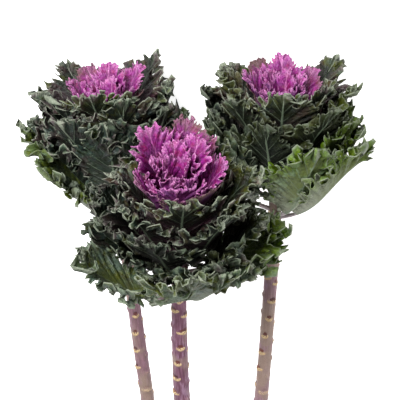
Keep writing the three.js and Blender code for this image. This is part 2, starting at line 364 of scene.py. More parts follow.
@dataclass(frozen=True)
class Mood:
    """How a leaf's place sets how much painted light and painted shade its finish gets, and how
    warm it is.

    A leaf gets painted light by how far it faces a side, of its head and of the bunch, less its
    rank.
    Painted shade comes in over one span of ranks and goes over another: each has a start and a
    width.
    """

    bunch_spread: float = 200
    right_middle: float = 0.5
    right_facing: float = 0.5
    left_facing: float = 0.35
    facing_weight: float = 1.6
    rank_weight: float = 1.7
    unlit: float = 0.6
    lit_width: float = 0.9
    painted_shade_comes: Pair = (0.18, 0.15)
    painted_shade_goes: Pair = (0.6, 0.25)
    shade_lifted_by_light: float = 0.6
    warmth_drawn: float = 0.9
    warmth_middle: float = 0.25


BLADE = Blade()
LOBING = Lobing()
CORE = Core()
GIVE = Give()
MOOD = Mood()
NOMINAL_HEAD = 140
HEAD_MIDDLE = 0.62
SCAR_HEIGHT = 0.9


@dataclass(frozen=True)
class Limit:
    """A plane that a plant's leaves stay on one side of."""

    point: Array
    normal: Array
    gap: float = GIVE.gap
    firmness: float = 1.0

    def settle(self, points: Array, give: float) -> Array:
        """Moves points back to the plane's own side, softly.

        Args:
            points: The points.
            give: How far before the plane they begin to give way.

        Returns:
            The moved points.
        """
        d = (points - self.point) @ self.normal
        moved = give_way(d, self.gap, give / self.firmness) - d
        return points + moved[..., None] * self.normal


@dataclass(frozen=True)
class Axes:
    """Where a head stands, and its axes: along the stem, towards the sky and towards +X."""

    root: Array
    along: Array
    sky: Array
    side: Array

    @classmethod
    def turned(cls, root: Array, along: Array) -> "Axes":
        """Axes along a direction, with no roll."""
        sky = unit(np.array([0, 0, 1.0]) - along[2] * along)
        return cls(root, along, sky, np.cross(along, sky))

    def outward(self, azimuth: float) -> Array:
        """The direction away from the axis at an azimuth, which goes from the sky to +X."""
        return math.sin(azimuth) * self.side + math.cos(azimuth) * self.sky


@dataclass
class Plant:
    """One plant and where it lies: its stem's ends, its head's axes and its neighbours."""

    name: str
    seed: int
    head_height: float
    green_leaves: int
    base: Triple
    slope: float
    yaw: float
    lift: float
    cut_end: Triple
    stem_top: float
    stem_bottom: float
    low_azimuths: tuple[float, ...]
    spiral_start: float
    heart_start: float
    heart_size: float
    stem_tan: float
    # How much painted shade the middle leaves of its head get.
    painted_shade: float
    heart_leaves: int = 10
    limits: list[Limit] = field(default_factory=list)

    def __post_init__(self) -> None:
        """Works out the size and the axes of the head."""
        slope, yaw = math.radians(self.slope), math.radians(self.yaw)
        level = math.cos(slope)
        along = np.array([math.sin(yaw) * level, math.cos(yaw) * level, math.sin(slope)])
        self.size = self.head_height / NOMINAL_HEAD
        self.axes = Axes.turned(np.array(self.base, float), along)

    @property
    def middle(self) -> Array:
        """The middle of the head's leaves."""
        return self.axes.root + HEAD_MIDDLE * self.head_height * self.axes.along

    @property
    def sideways(self) -> float:
        """How far to the +X side of the bunch the head is, as a share."""
        return self.base[0] / MOOD.bunch_spread

    def core_radius(self, height: float) -> float:
        """The radius of the stem's top at a height in the head."""
        return self.stem_top + CORE.swell * float(smooth(height / (CORE.top * self.size)))

    def halfway(self, other: "Plant") -> Limit:
        """The plane halfway to another plant's head, facing this one."""
        return Limit((self.middle + other.middle) / 2, unit(self.middle - other.middle))

    def settle(self, points: Array, give: float) -> Array:
        """Moves points back to the plant's own side of all its limits.

        Args:
            points: The points.
            give: How far before a limit they begin to give way.

        Returns:
            The moved points.
        """
        for limit in self.limits:
            points = limit.settle(points, give)
        return points

    def keep_to_cup(self, points: Array, tier: Tier) -> Array:
        """Moves a green leaf's points out of the heart's cup, and a heart leaf's into it.

        Args:
            points: The leaf's points.
            tier: The kind of leaf.

        Returns:
            The moved points.
        """
        axes = self.axes
        from_root = points - axes.root
        height = from_root @ axes.along
        h = height / self.size
        out = from_root - height[..., None] * axes.along
        r = np.linalg.norm(out, axis=-1)
        opening = np.maximum(0, h - CORE.cup_from) / (CORE.cup_to - CORE.cup_from)
        closing = CORE.cup_closing * np.maximum(0, CORE.cup_from - h)
        wall = (mix(CORE.cup_narrow, CORE.cup_wide, opening) - closing) * self.size
        sign = -1 if tier is Tier.HEART else 1
        gap = CORE.heart_gap if tier is Tier.HEART else CORE.green_gap
        d = sign * (r - wall)
        moved = sign * (give_way(d, gap, GIVE.cup) - d)
        return points + moved[..., None] * unit(out)


class Leaf:
    """Leaf k of a kind on a plant: its sizes, and the shape of its middle surface."""

    RIB_STEPS = 160
    MOST_RANK = 1.1
    HEART_KEYS = 100
    KEY_STEP = 17.0

    def __init__(self, plant: Plant, sizes: LeafSizes, k: int) -> None:
        """Works out the leaf's own sizes.

        Args:
            plant: The plant that it grows on.
            sizes: The sizes of its kind.
            k: Its number, counted from the head's lowest leaf up.
        """
        heart = sizes.tier is Tier.HEART
        low = () if heart else plant.low_azimuths
        start = math.radians(plant.heart_start if heart else plant.spiral_start)
        count = plant.heart_leaves if heart else plant.green_leaves
        self.plant, self.sizes, self.axes = plant, sizes, plant.axes
        self.rank = t = min(self.MOST_RANK, k / (count - 1))
        self.number = self.HEART_KEYS + k if heart else k
        self.key = plant.seed * self.KEY_STEP + self.number
        by_spiral = start + (k - len(low)) * GOLDEN_ANGLE
        placed = math.radians(low[k]) if k < len(low) else by_spiral
        self.azimuth = placed + self.turned(Quality.AZIMUTH)
        self.outward = self.axes.outward(self.azimuth)
        size = plant.size * (plant.heart_size if heart else 1)
        skyward = math.cos(self.azimuth)
        reach = 1 + mix(*sizes.sky_reach, t) * skyward
        length_drawn = self.varied(Quality.LENGTH, BLADE.size_jitter)
        width_drawn = self.varied(Quality.WIDTH, BLADE.size_jitter)
        self.height = mix(*sizes.height, t) * plant.size
        self.length = mix(*sizes.length, t) * size * length_drawn * reach
        self.half_width = mix(*sizes.half_width, t) * size * width_drawn
        self.petiole = mix(*sizes.petiole_share, t) * self.length
        self.petiole_half_width = mix(*sizes.petiole_half_width, t)
        lift = math.radians(sizes.sky_rise) * skyward
        lift += 0 if heart else math.radians(plant.lift * (1 - t))
        self.rise = [
            math.radians(mix(*pair, t)) + share * lift + self.turned(quality)
            for pair, share, quality in (
                (sizes.rise_at_root, 1, Quality.RISE_AT_ROOT),
                (sizes.rise_in_middle, 1, Quality.RISE_IN_MIDDLE),
                (sizes.rise_at_tip, 0.5, Quality.RISE_AT_TIP),
            )
        ]
        self.fold = math.radians(mix(*sizes.fold, t))
        wave_drawn = self.varied(Quality.WAVE_HEIGHT, BLADE.wave_variation)
        self.wave_height = mix(*sizes.wave_height, t) * wave_drawn
        self.wave_phase = BLADE.phase_spread * self.drawn(Quality.WAVE_PHASE)

    @property
    def light_through(self) -> float:
        """How much painted light the leaf gets, bright and yellow as if shining through: most on
        low leaves at either side of the bunch.

        Returns:
            From 0, not at all, to 1.
        """
        facing = float(self.outward[0])
        right = MOOD.right_middle + MOOD.right_facing * facing + self.plant.sideways
        left = -MOOD.left_facing * facing - self.plant.sideways
        lit = MOOD.facing_weight * max(right, left) - MOOD.rank_weight * self.rank
        return float(smooth((lit - MOOD.unlit) / MOOD.lit_width))

    @property
    def painted_shade(self) -> float:
        """How much painted shade the leaf gets among its neighbours: most half way up a crowded
        head.

        Returns:
            From 0, not at all, to 1.
        """
        (comes, coming), (goes, going) = MOOD.painted_shade_comes, MOOD.painted_shade_goes
        middle = smooth((self.rank - comes) / coming) * (1 - smooth((self.rank - goes) / going))
        return float(self.plant.painted_shade * middle * (1 - MOOD.shade_lifted_by_light * self.light_through))

    @property
    def warmth(self) -> float:
        """Whether the leaf is purple and grey, at -1, or olive, at 1."""
        drawn = MOOD.warmth_drawn * self.drawn(Quality.WARMTH)
        return drawn + MOOD.warmth_middle + self.plant.sideways

    def drawn(self, quality: Quality) -> float:
        """The leaf's own draw for a quality, from -1 to 1."""
        return draw(self.plant.seed, self.number, quality)

    def varied(self, quality: Quality, amount: float) -> float:
        """A factor near 1 for one of the leaf's qualities."""
        return 1 + amount * self.drawn(quality)

    def turned(self, quality: Quality) -> float:
        """A small angle for one of the leaf's qualities."""
        return math.radians(BLADE.angle_jitter) * self.drawn(quality)

    def wander(self, places: Array, line: Line) -> Array:
        """The leaf's own smooth random values at places along a line, from -1 to 1."""
        return wander(places, self.key + line.value)

    def rise_at(self, u: Array) -> Array:
        """Angle of the midrib above the plane across the stem, at share u of its length."""
        a, b, c = self.rise
        return np.where(u < 0.5, mix(a, b, smooth(2 * u)), mix(b, c, smooth(2 * u - 1)))

    def midrib(self) -> tuple[Array, Array, Array]:
        """The midrib's line, from the stem out.

        Returns:
            Distances along it, with the line's radius and height in the head at each.
        """
        distance = np.linspace(0, self.length, self.RIB_STEPS + 1)
        rise = self.rise_at((distance[1:] + distance[:-1]) / 2 / self.length)
        step = self.length / self.RIB_STEPS
        root = self.plant.core_radius(self.height) - CORE.root_depth
        r = root + step * np.concatenate([[0], np.cumsum(np.cos(rise))])
        h = self.height + step * np.concatenate([[0], np.cumsum(np.sin(rise))])
        return distance, r, h

    def flat_pattern(self, s: Array, turn: Array, reach: Array) -> tuple[Array, Array]:
        """The leaf laid flat.

        Args:
            s: Share of the way from the midrib to the edge.
            turn: From 0 up the right side of the blade to the tip at 1 and down the left
                side to 2, with the stalk before and after that.
            reach: How far out the cut edge leaves each point, as a factor.

        Returns:
            Distances from the midrib's line, and along it.
        """
        q = one_side(turn)
        blade_q = np.clip(q, 0, 1)
        blade = self.length - self.petiole
        power = mix(BLADE.foot_power, BLADE.tip_power, blade_q)
        belly = np.sin(np.pi * blade_q).clip(0, 1) ** power
        edge_x = self.petiole_half_width * (1 - blade_q) + self.half_width * belly
        edge_y = self.petiole + blade * (1 - np.cos(np.pi * blade_q)) / 2
        root_y = self.petiole + BLADE.rib_reach * blade * blade_q**BLADE.rib_power
        stalk_y = self.petiole * (1 + np.minimum(q, 0))
        in_stalk = q <= 0
        edge_x = np.where(in_stalk, self.petiole_half_width, edge_x)
        edge_y = np.where(in_stalk, stalk_y, edge_y)
        root_y = np.where(in_stalk, stalk_y, root_y)
        return s * reach * edge_x, mix(root_y, edge_y, s * reach)

    def edge_walk(self) -> tuple[Array, Array, float]:
        """Walks along one side of the uncut edge, from the blade's foot to its tip.

        Returns:
            Places round the blade, the share of the walk that each lies at, and the number
            of lobes on this side, with half of the tip's own.
        """
        q = np.linspace(0, 1, self.RIB_STEPS + 1)
        x, y = self.flat_pattern(np.ones_like(q), q, np.ones_like(q))
        walk = np.concatenate([[0], np.cumsum(np.hypot(np.diff(x), np.diff(y)))])
        lobes = round(walk[-1] / self.sizes.frill.lobe_width - 0.5) + 0.5
        return q, walk / walk[-1], lobes

    def cut_reach(self, s: Array, turn: Array, lobe: Array, in_blade: Array) -> Array:
        """How far out the outline's lobes, the fingers and the teeth leave each point.

        Args:
            s: Share of the way from the midrib to the edge.
            turn: Place round the blade.
            lobe: The lobe that each point belongs to, with a lobe's middle at a half.
            in_blade: 0 on the stalk, 1 on the blade.

        Returns:
            Factors.
        """
        frill = self.sizes.frill
        bay = smooth((np.abs(lobe % 1 - 0.5) - LOBING.finger) / LOBING.flank)
        teeth = LOBING.teeth * np.abs(np.cos(LOBING.teeth_per_lobe * np.pi * lobe))
        depth = frill.lobe_depth * (1 + LOBING.depth_variation * self.wander(lobe, Line.CUT))
        cluster = 1 - np.abs(np.sin(np.pi * lobe / frill.cluster_lobes + self.key))
        uneven = self.wander(lobe / LOBING.cluster_grain, Line.CLUSTER)
        deeper = frill.cluster_depth * cluster**LOBING.cluster_power
        cut = depth * (bay + teeth) + deeper * (1 + LOBING.cluster_variation * uneven)
        wide = -np.cos(2 * np.pi * BLADE.outline_lobes * turn)
        return 1 + in_blade * s * (BLADE.outline_depth * wide + LOBING.spare - cut)

    def surface(self, s: Array, turn: Array, lobe: Array) -> tuple[Array, Array]:
        """The leaf's middle surface.

        Args:
            s: Share of the way from the midrib to the edge, for each point.
            turn: Place round the blade, for each point.
            lobe: The lobe that each belongs to, with a lobe's middle at a half.

        Returns:
            The points, and their distance from the midrib in the flat leaf.
        """
        plant = self.plant
        in_blade = smooth(one_side(turn) / BLADE.wave_from_foot)
        x, y = self.flat_pattern(s, turn, self.cut_reach(s, turn, lobe, in_blade))
        points, bend, across, normal = self.curved(x, y, turn)
        points = plant.settle(points, GIVE.leaf)
        wave = np.sin(2 * np.pi * BLADE.waves_per_side * turn + self.wave_phase)
        height = self.wave_height * in_blade * s**BLADE.wave_edge_power * wave
        side = np.where(turn <= 1, 1.0, -1.0)
        points = points + (height * np.cos(bend))[..., None] * normal
        points = points - (side * height * np.sin(bend))[..., None] * across
        points = self.ruffled(points, x, s, lobe, in_blade)
        points = plant.keep_to_cup(points, self.sizes.tier)
        return plant.settle(points, GIVE.edge), x

    def curved(self, x: Array, y: Array, turn: Array) -> tuple[Array, Array, Array, Array]:
        """Bends the flat leaf along its midrib and round its head.

        Args:
            x: Distance of each point from the midrib's line.
            y: Distance of each point along the midrib's line.
            turn: Place round the blade, for each point.

        Returns:
            The points, the angle that the blade has bent by at each, and the directions
            across the leaf and out of its upper face.
        """
        axes = self.axes
        distance, radius, height = self.midrib()
        r, h = np.interp(y, distance, radius), np.interp(y, distance, height)
        rise = self.rise_at(y / self.length)
        across = -np.cross(axes.along, self.outward)
        normal = -np.sin(rise)[..., None] * self.outward + np.cos(rise)[..., None] * axes.along
        curl = np.maximum(self.sizes.tightest, r / np.sin(rise))
        bend = self.fold + x / curl
        side = np.where(turn <= 1, 1.0, -1.0)
        points = axes.root + r[..., None] * self.outward + h[..., None] * axes.along
        out = side * curl * (np.sin(bend) - math.sin(self.fold))
        up = curl * (math.cos(self.fold) - np.cos(bend))
        return points + out[..., None] * across + up[..., None] * normal, bend, across, normal

    def ruffled(self, points: Array, x: Array, s: Array, lobe: Array, in_blade: Array) -> Array:
        """Adds the ruffle of the lobes and teeth, and the pucker between side veins.

        Args:
            points: Points in rows that run from the midrib to the edge.
            x: Distance of each point from the midrib in the flat leaf.
            s: Share of the way from the midrib to the edge.
            lobe: The lobe that each point belongs to.
            in_blade: 0 on the stalk, 1 on the blade.

        Returns:
            The moved points.
        """
        frill = self.sizes.frill
        size = self.half_width / self.sizes.half_width[0]
        along_edge = unit(np.gradient(points, axis=0))
        outwards = unit(np.gradient(points, axis=1))
        normal = unit(np.cross(outwards, along_edge))
        nth, folded = lobe + 0.5, 2 * np.pi * lobe / frill.fold_lobes
        middle = np.abs(np.sin(np.pi * lobe))
        bow = frill.curl * middle * LOBING.bow * self.wander(nth, Line.BOW) / size
        edge = x[:, -1:]
        curl_from = np.maximum(LOBING.curl_from * edge, edge - frill.curl_span * size)
        out = np.maximum(0, x - curl_from)
        angle = in_blade * bow * out
        uneven = LOBING.fold_variation * self.wander(lobe / frill.fold_lobes, Line.FOLD)
        strength = in_blade * size * (1 + uneven)
        slow = np.sin(LOBING.second_pace * folded + self.key)
        swing = np.sin(folded) + LOBING.second_swing * slow
        puckered = 1 - np.abs(np.sin(np.pi * lobe / LOBING.vein_lobes))
        twisted = frill.twist * np.sin(2 * np.pi * lobe) * self.wander(nth, Line.TWIST)
        height = (
            frill.fold_height * swing * strength * s**frill.fold_power
            + twisted * strength * s**LOBING.steep_power
            + frill.pucker * in_blade * puckered * 4 * s * (1 - s)
        )
        height = height + out * np.sinc(angle / (2 * np.pi)) ** 2 * angle / 2
        back = out * (np.sinc(angle / np.pi) - 1)
        over = -frill.fold_over * np.sin(2 * folded) * strength * s**LOBING.steep_power
        points = points + height[..., None] * normal + back[..., None] * outwards
        return points + over[..., None] * along_edge


# ------------------------------------------------------------------ meshes


@dataclass
class Sheet:
    """A closed mesh with numbers on its points, in millimetres."""

    points: Array
    faces: Array
    marks: dict[str, Array]


class LeafMaker:
    """Turns a leaf's surface into a thin closed sheet with a rounded midrib below.

    The sheet's outer columns have a point on every row, and its inner ones on every third.
    The rows crowd together where the folds of the edge are steep, and are a little uneven.
    Fewer rows go to a lobe on leaves that face down. The rib goes over into the round stalk
    at the blade's foot, where the veins fade.
    """

    INNER = (0, 0.06, 0.2, 0.38, 0.56)
    OUTER = (0.7, 0.81, 0.9, 0.96, 1.0)
    STEP = 3
    CROWDING = 0.4
    UNEVEN, UNEVEN_PACE = 0.25, 0.6
    ROWS = 8
    ROWS_BELOW = 5
    BELOW = -0.45
    FOOT = 0.08
    RIB_SPREAD, RIB_BASE = 0.7, 0.3
    UPPER_RIB, UPPER_STALK, UNDER_RIB = 0.25, 0.7, 1.2
    VEIN_HEIGHT, VEIN_WIDTH, VEIN_FROM = 0.35, 0.15, 0.1

    def __init__(self, leaf: Leaf) -> None:
        """Lays out the grid of rows round the leaf and columns out from its midrib.

        Args:
            leaf: The leaf to make.
        """
        self.leaf = leaf
        q, share, lobes = leaf.edge_walk()
        rows = self.ROWS_BELOW if leaf.outward[2] < self.BELOW else self.ROWS
        rows = self.STEP * round(lobes * rows / self.STEP)
        steps = np.linspace(0, lobes, rows + 1)
        fold_lobes = leaf.sizes.frill.fold_lobes
        turned = 4 * np.pi * steps / fold_lobes
        crowded = self.CROWDING * fold_lobes / (4 * np.pi) * np.sin(turned)
        uneven = self.UNEVEN * leaf.wander(steps * self.UNEVEN_PACE, Line.ROWS)
        shares = (steps + (uneven - crowded) * np.sin(np.pi * steps / lobes)) / lobes
        right = np.interp(shares, share, q)
        stalk = np.linspace(-1, 0, leaf.sizes.petiole_rows, endpoint=False)
        turns = np.concatenate([stalk, right, 2 - right[-2::-1], 2 - stalk[::-1]])
        ends = np.zeros_like(stalk)
        lobe = np.concatenate([ends, steps, 2 * lobes - steps[-2::-1], ends + 2 * lobes])
        self.s, self.turn = np.meshgrid(np.array(self.INNER + self.OUTER), turns)
        self.lobe = np.repeat(lobe[:, None], self.s.shape[1], axis=1)
        self.q = one_side(self.turn)
        self.place = np.arange(self.s.size).reshape(self.s.shape)
        self.place[:, 0] = np.minimum(self.place[:, 0], self.place[::-1, 0])

    def faces(self) -> Array:
        """Joins the grid into triangles, with the midrib shared by both sides.

        Returns:
            The three places of each triangle, in the flattened grid.
        """
        place, rows, inner = self.place, len(self.place), len(self.INNER)
        coarse = place[:: self.STEP]
        near, far = coarse[:-1, inner - 1], coarse[1:, inner - 1]
        edge = [place[k : rows - self.STEP + k : self.STEP, inner] for k in range(4)]
        joint = (
            (near, edge[0], edge[1]),
            (near, edge[1], edge[2]),
            (near, edge[2], far),
            (far, edge[2], edge[3]),
        )
        seams = stacked(*joint)
        return np.concatenate([strips(coarse[:, :inner]), seams, strips(place[:, inner:])])

    def half_thickness(self, x: Array) -> tuple[Array, Array]:
        """How far the upper and under faces stand from the middle surface.

        Args:
            x: Distance from the midrib.

        Returns:
            The two distances, at each place of the grid.
        """
        sizes = self.leaf.sizes
        edge = sizes.edge_half
        rib = mix(*sizes.rib_half, np.clip((1 + self.q) / 2, 0, 1)) - edge
        on_stalk = 1 - smooth(self.q / self.FOOT)
        ridge = np.exp(-((x / (self.RIB_SPREAD * (rib + edge) + self.RIB_BASE)) ** 2))
        ridge = mix(ridge, np.sqrt(1 - self.s**2), on_stalk)
        turned = np.pi * self.lobe / LOBING.vein_lobes
        vein = np.exp(-((np.cos(turned) / self.VEIN_WIDTH) ** 2)) * smooth(self.q / self.VEIN_FROM)
        upper = edge + mix(self.UPPER_RIB, self.UPPER_STALK, on_stalk) * rib * ridge
        under = edge + self.UNDER_RIB * rib * ridge
        below = self.VEIN_HEIGHT * vein * (1 - self.s) * smooth(self.s / self.VEIN_FROM)
        return upper, under + below

    def sheet(self) -> Sheet:
        """Makes the leaf's closed mesh.

        Returns:
            The mesh, with the numbers that its finish reads.
        """
        leaf = self.leaf
        points, x = leaf.surface(self.s, self.turn, self.lobe)
        upper, under = self.half_thickness(x)
        used, index = np.unique(self.faces(), return_inverse=True)
        faces = index.reshape(-1, 3)
        middle = points.reshape(-1, 3)[used]
        normals = np.zeros_like(middle)
        corner = middle[faces]
        areas = np.cross(corner[:, 1] - corner[:, 0], corner[:, 2] - corner[:, 0])
        for i in range(3):
            np.add.at(normals, faces[:, i], areas)
        normals = unit(normals)
        top = middle + upper.ravel()[used, None] * normals
        bottom = middle - under.ravel()[used, None] * normals
        both = leaf.plant.settle(np.concatenate([top, bottom]), GIVE.face)
        both[:, 2] = np.maximum(0, both[:, 2])
        count, place = len(used), self.place
        rim = np.concatenate([place[:, -1], place[-1, -2:0:-1], place[0, :-1]])
        rim = np.searchsorted(used, rim)
        ahead = np.roll(rim, -1)
        walls = stacked((rim, rim + count, ahead + count), (rim, ahead + count, ahead))
        faces = np.concatenate([faces, faces[:, ::-1] + count, walls])
        grids = {
            "across": self.s,
            "along": self.q,
            "lobe": self.lobe,
            "from_rib": x,
            "margin": (1 - self.s) * x[:, -1:],
        }
        wholes = {
            "rank": leaf.rank,
            "tint": leaf.warmth,
            "lit": leaf.light_through,
            "painted_shade": leaf.painted_shade,
        }
        marks = {name: np.tile(grid.ravel()[used], 2) for name, grid in grids.items()}
        marks |= {name: np.full(2 * count, whole) for name, whole in wholes.items()}
        marks["under"] = np.repeat([0.0, 1.0], count)
        return Sheet(both, faces, marks)


def stacked(*corners: tuple[Array, Array, Array]) -> Array:
    """Triangles from the places of their first, second and third corners."""
    return np.concatenate([np.stack(places, axis=-1).reshape(-1, 3) for places in corners])


def strips(grid: Array) -> Array:
    """Splits each square of a grid of places into two triangles."""
    a, b, c, d = grid[:-1, :-1], grid[:-1, 1:], grid[1:, 1:], grid[1:, :-1]
    return stacked((a, b, c), (a, c, d))


def add_object(name: str, data: Any) -> bpy.types.Object:
    """Puts a new object into the scene.

    Args:
        name: Its name.
        data: Its mesh, light or camera.

    Returns:
        The object.
    """
    thing = bpy.data.objects.new(name, data)
    bpy.context.scene.collection.objects.link(thing)
    return thing


def mesh_object(name: str, sheets: list[Sheet], material: bpy.types.Material) -> bpy.types.Object:
    """Makes one piece of the object from sheets, rides it on the body and reports it.

    Args:
        name: The piece's name.
        sheets: The meshes that it is made of.
        material: Its finish.

    Returns:
        The new object.
    """
    starts = np.cumsum([0] + [len(sheet.points) for sheet in sheets[:-1]])
    points = np.concatenate([sheet.points for sheet in sheets]) * MM
    faces = np.concatenate([sheet.faces + start for sheet, start in zip(sheets, starts)])
    mesh = bpy.data.meshes.new(name)
    mesh.from_pydata(points.tolist(), [], faces.tolist())
    for mark in sheets[0].marks:
        attribute = mesh.attributes.new(mark, "FLOAT", "POINT")
        values = np.concatenate([sheet.marks[mark] for sheet in sheets])
        attribute.data.foreach_set("value", values.astype(np.float32))
    mesh.polygons.foreach_set("use_smooth", np.ones(len(mesh.polygons), bool))
    mesh.materials.append(material)
    mesh.update()
    piece = add_object(name, mesh)
    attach(piece, BODY)
    LOG.info("%s: %d faces", name, len(mesh.polygons))
    return piece


@dataclass
class LeafHead:
    """The leaves of one kind on one plant, the heart's with a few more in its middle."""

    plant: Plant
    sizes: LeafSizes
    most_in_piece: int = 12
    in_middle: int = 4

    @property
    def node(self) -> str:
        """The name of the CAD node that these leaves stand for."""
        return f"{self.sizes.tier.value}_{self.plant.name}"

    def build(self, material: bpy.types.Material) -> None:
        """Makes the leaves, in as many pieces as keep each one light, for their CAD node.

        Args:
            material: Their finish.
        """
        heart = self.sizes.tier is Tier.HEART
        count = self.plant.heart_leaves + self.in_middle if heart else self.plant.green_leaves
        sheets = [LeafMaker(Leaf(self.plant, self.sizes, k)).sheet() for k in range(count)]
        pieces = math.ceil(count / self.most_in_piece)
        each = math.ceil(count / pieces)
        for i in range(pieces):
            part = sheets[i * each : (i + 1) * each]
            piece = mesh_object(f"{self.node}_part_{i + 1}", part, material)
            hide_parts(self.node)


# ------------------------------------------------------------------ stems


@dataclass(frozen=True)
class ScarSpiral:
    """The spiral of leaf scars on a stem, and the form of one scar.

    Two steps of the spiral turn by the golden angle. Up the stem, the skin rises from
    lip_from to a lip and falls again past lip_to, and dips round dent_at by a share of the
    lip's height. That is on the side that the scar faces.
    """

    pitch: float = 5.5
    turn: float = GOLDEN_ANGLE / 2 + math.pi
    radius: float = 6.3
    half_width: float = 3.6
    facing: float = 0.3
    lip_from: float = -5.0
    lip_rise: float = 4.2
    lip_to: float = -0.8
    lip_fall: float = 2.2
    dent_at: float = 1.8
    dent_half: float = 1.3
    dent_share: float = 0.35


SCAR = ScarSpiral()


@dataclass
class Stem:
    """One plant's bare stem from its cut end to the lowest leaf, and its crown in the head."""

    plant: Plant
    sides: int = 36
    step: float = 1.6
    measuring_steps: int = 200
    core_bottom: float = -4.0
    overlap: float = 3.0
    lip_height: float = 1.1
    ridge_height: float = 0.25
    ridge_pace: float = 2.2
    ridge_slant: float = 0.02
    crown_rings: int = 34
    crown_foot: float = -3.0
    crown_top: float = 84.0
    crown_inset: float = 0.3
    waist_height: float = 0.55
    waist: float = 0.85
    inset: float = 0.6
    tip_radius: float = 3.0

    def build(self, material: bpy.types.Material) -> None:
        """Makes the stem and the crown, each for its CAD nodes.

        Args:
            material: Their finish.
        """
        name = self.plant.name
        stem = mesh_object(f"stem_{name}_skin", [self.stalk()], material)
        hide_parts(f"stem_{name}")
        crown = mesh_object(f"crown_{name}", [self.crown()], material)
        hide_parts(f"leaves_{name}", f"heart_{name}")

    def centre_line(self, shares: Array) -> tuple[Array, Array]:
        """The stem's middle line, which bends up from its cut end into the head's axis.

        Args:
            shares: Shares of the way up from the cut end.

        Returns:
            The points there, and the line's directions.
        """
        axes = self.plant.axes
        cut = np.array(self.plant.cut_end, float)
        end = axes.root + self.core_bottom * axes.along
        control = end - axes.along * np.linalg.norm(end - cut) / 2
        t = shares[:, None]
        points = (1 - t) ** 2 * cut + 2 * t * (1 - t) * control + t**2 * end
        return points, unit(2 * (1 - t) * (control - cut) + 2 * t * (end - control))

    def stalk(self) -> Sheet:
        """Makes the stem's skin, with its raised scars and lengthwise ridges.

        Returns:
            The mesh.
        """
        points, _ = self.centre_line(np.linspace(0, 1, self.measuring_steps))
        length = float(np.linalg.norm(np.diff(points, axis=0), axis=1).sum())
        shares = np.linspace(0, 1, round(length / self.step) + 1)
        middle, tangent = self.centre_line(shares)
        reach = self.overlap * self.plant.axes.along
        middle = np.concatenate([middle, [middle[-1] + reach]])
        tangent = np.concatenate([tangent, tangent[-1:]])
        radius = mix(self.plant.stem_bottom, self.plant.stem_top, np.append(shares, 1.0))
        scars = 2 * math.floor(length / (2 * SCAR.pitch))
        along = np.append(shares, 1 + self.overlap / length) * scars * SCAR.pitch
        return self.tube(middle, tangent, radius, along, True)

    def crown(self) -> Sheet:
        """Makes the part of the stem inside the head, which the leaves grow from.

        Returns:
            The mesh.
        """
        plant = self.plant
        top, shoulder = self.crown_top * plant.size, CORE.top * plant.size
        heights = np.linspace(self.crown_foot, top, self.crown_rings)
        t = np.clip((heights - shoulder) / (top - shoulder), 0, 1)
        above = np.interp(t, (0, self.waist_height, 1), (1, self.waist, 0))
        core = np.array([plant.core_radius(h) for h in heights])
        taper = mix(self.tip_radius, core - self.inset, above)
        radius = np.where(heights <= shoulder, core - self.crown_inset, taper)
        middle = plant.axes.root + heights[:, None] * plant.axes.along
        tangent = np.repeat(plant.axes.along[None], len(heights), axis=0)
        return self.tube(middle, tangent, radius, heights, False)

    def tube(
        self, middle: Array, tangent: Array, radius: Array, along: Array, on_surface: bool
    ) -> Sheet:
        """A closed round tube with the marks that the stem's finish reads.

        Args:
            middle: The middle of each ring.
            tangent: The direction up the stem at each ring.
            radius: The radius of each ring.
            along: Distance up the scars' spiral of each ring.
            on_surface: Whether the tube is kept above the surface it lies on.

        Returns:
            The mesh.
        """
        angle = np.linspace(0, 2 * np.pi, self.sides, endpoint=False)[None]
        sky = unit(np.array([0, 0, 1.0]) - tangent[:, 2:] * tangent)
        side = np.cross(tangent, sky)
        relief = self.relief(along[:, None], angle)
        r = (radius[:, None] + relief)[..., None]
        out = np.sin(angle)[..., None] * side[:, None] + np.cos(angle)[..., None] * sky[:, None]
        points = (middle[:, None] + r * out).reshape(-1, 3)
        if on_surface:
            points[:, 2] = np.maximum(0, points[:, 2])
        rings, sides = len(middle), self.sides
        place = np.arange(rings * sides).reshape(rings, sides)
        a, b = place[:-1], np.roll(place[:-1], -1, axis=1)
        c, d = place[1:], np.roll(place[1:], -1, axis=1)
        low, high, end = place[0], place[-1], np.full(sides, len(points))
        caps = (np.roll(low, -1), low, end), (high, np.roll(high, -1), end + 1)
        ends = np.array([points[:sides].mean(axis=0), points[-sides:].mean(axis=0)])
        grids = {
            "along": along[:, None],
            "sine": np.sin(angle),
            "cosine": np.cos(angle),
            "cut": 0.0,
            "tan": self.plant.stem_tan,
        }
        marks = {name: np.broadcast_to(grid, relief.shape).ravel() for name, grid in grids.items()}
        for name, values in marks.items():
            tail = [1.0, 0.0] if name == "cut" else [values[0], values[-1]]
            marks[name] = np.concatenate([values, tail])
        faces = stacked((a, b, c), (b, d, c), *caps)
        return Sheet(np.concatenate([points, ends]), faces, marks)

    def relief(self, along: Array, angle: Array) -> Array:
        """How far the skin stands out: a lip under each scar, a dent over it, and ridges.

        Args:
            along: Distance up the scars' spiral.
            angle: Angle round the stem.

        Returns:
            The heights.
        """
        nearest = np.round(along / SCAR.pitch)
        ridges = wander(angle * self.ridge_pace + self.ridge_slant * along, self.plant.seed)
        total = self.ridge_height * ridges
        for step in (-1, 0, 1):
            nth = nearest + step
            up = along - nth * SCAR.pitch
            turned = angle - nth * SCAR.turn
            round_by = np.sin(turned) * SCAR.radius
            facing = np.cos(turned) > SCAR.facing
            width = np.exp(-((round_by / SCAR.half_width) ** 2)) * facing
            rise = smooth((up - SCAR.lip_from) / SCAR.lip_rise)
            lip = rise * (1 - smooth((up - SCAR.lip_to) / SCAR.lip_fall))
            dent = np.exp(-(((up - SCAR.dent_at) / SCAR.dent_half) ** 2))
            total = total + self.lip_height * width * (lip - SCAR.dent_share * dent)
        return total


# ------------------------------------------------------------------ finishes


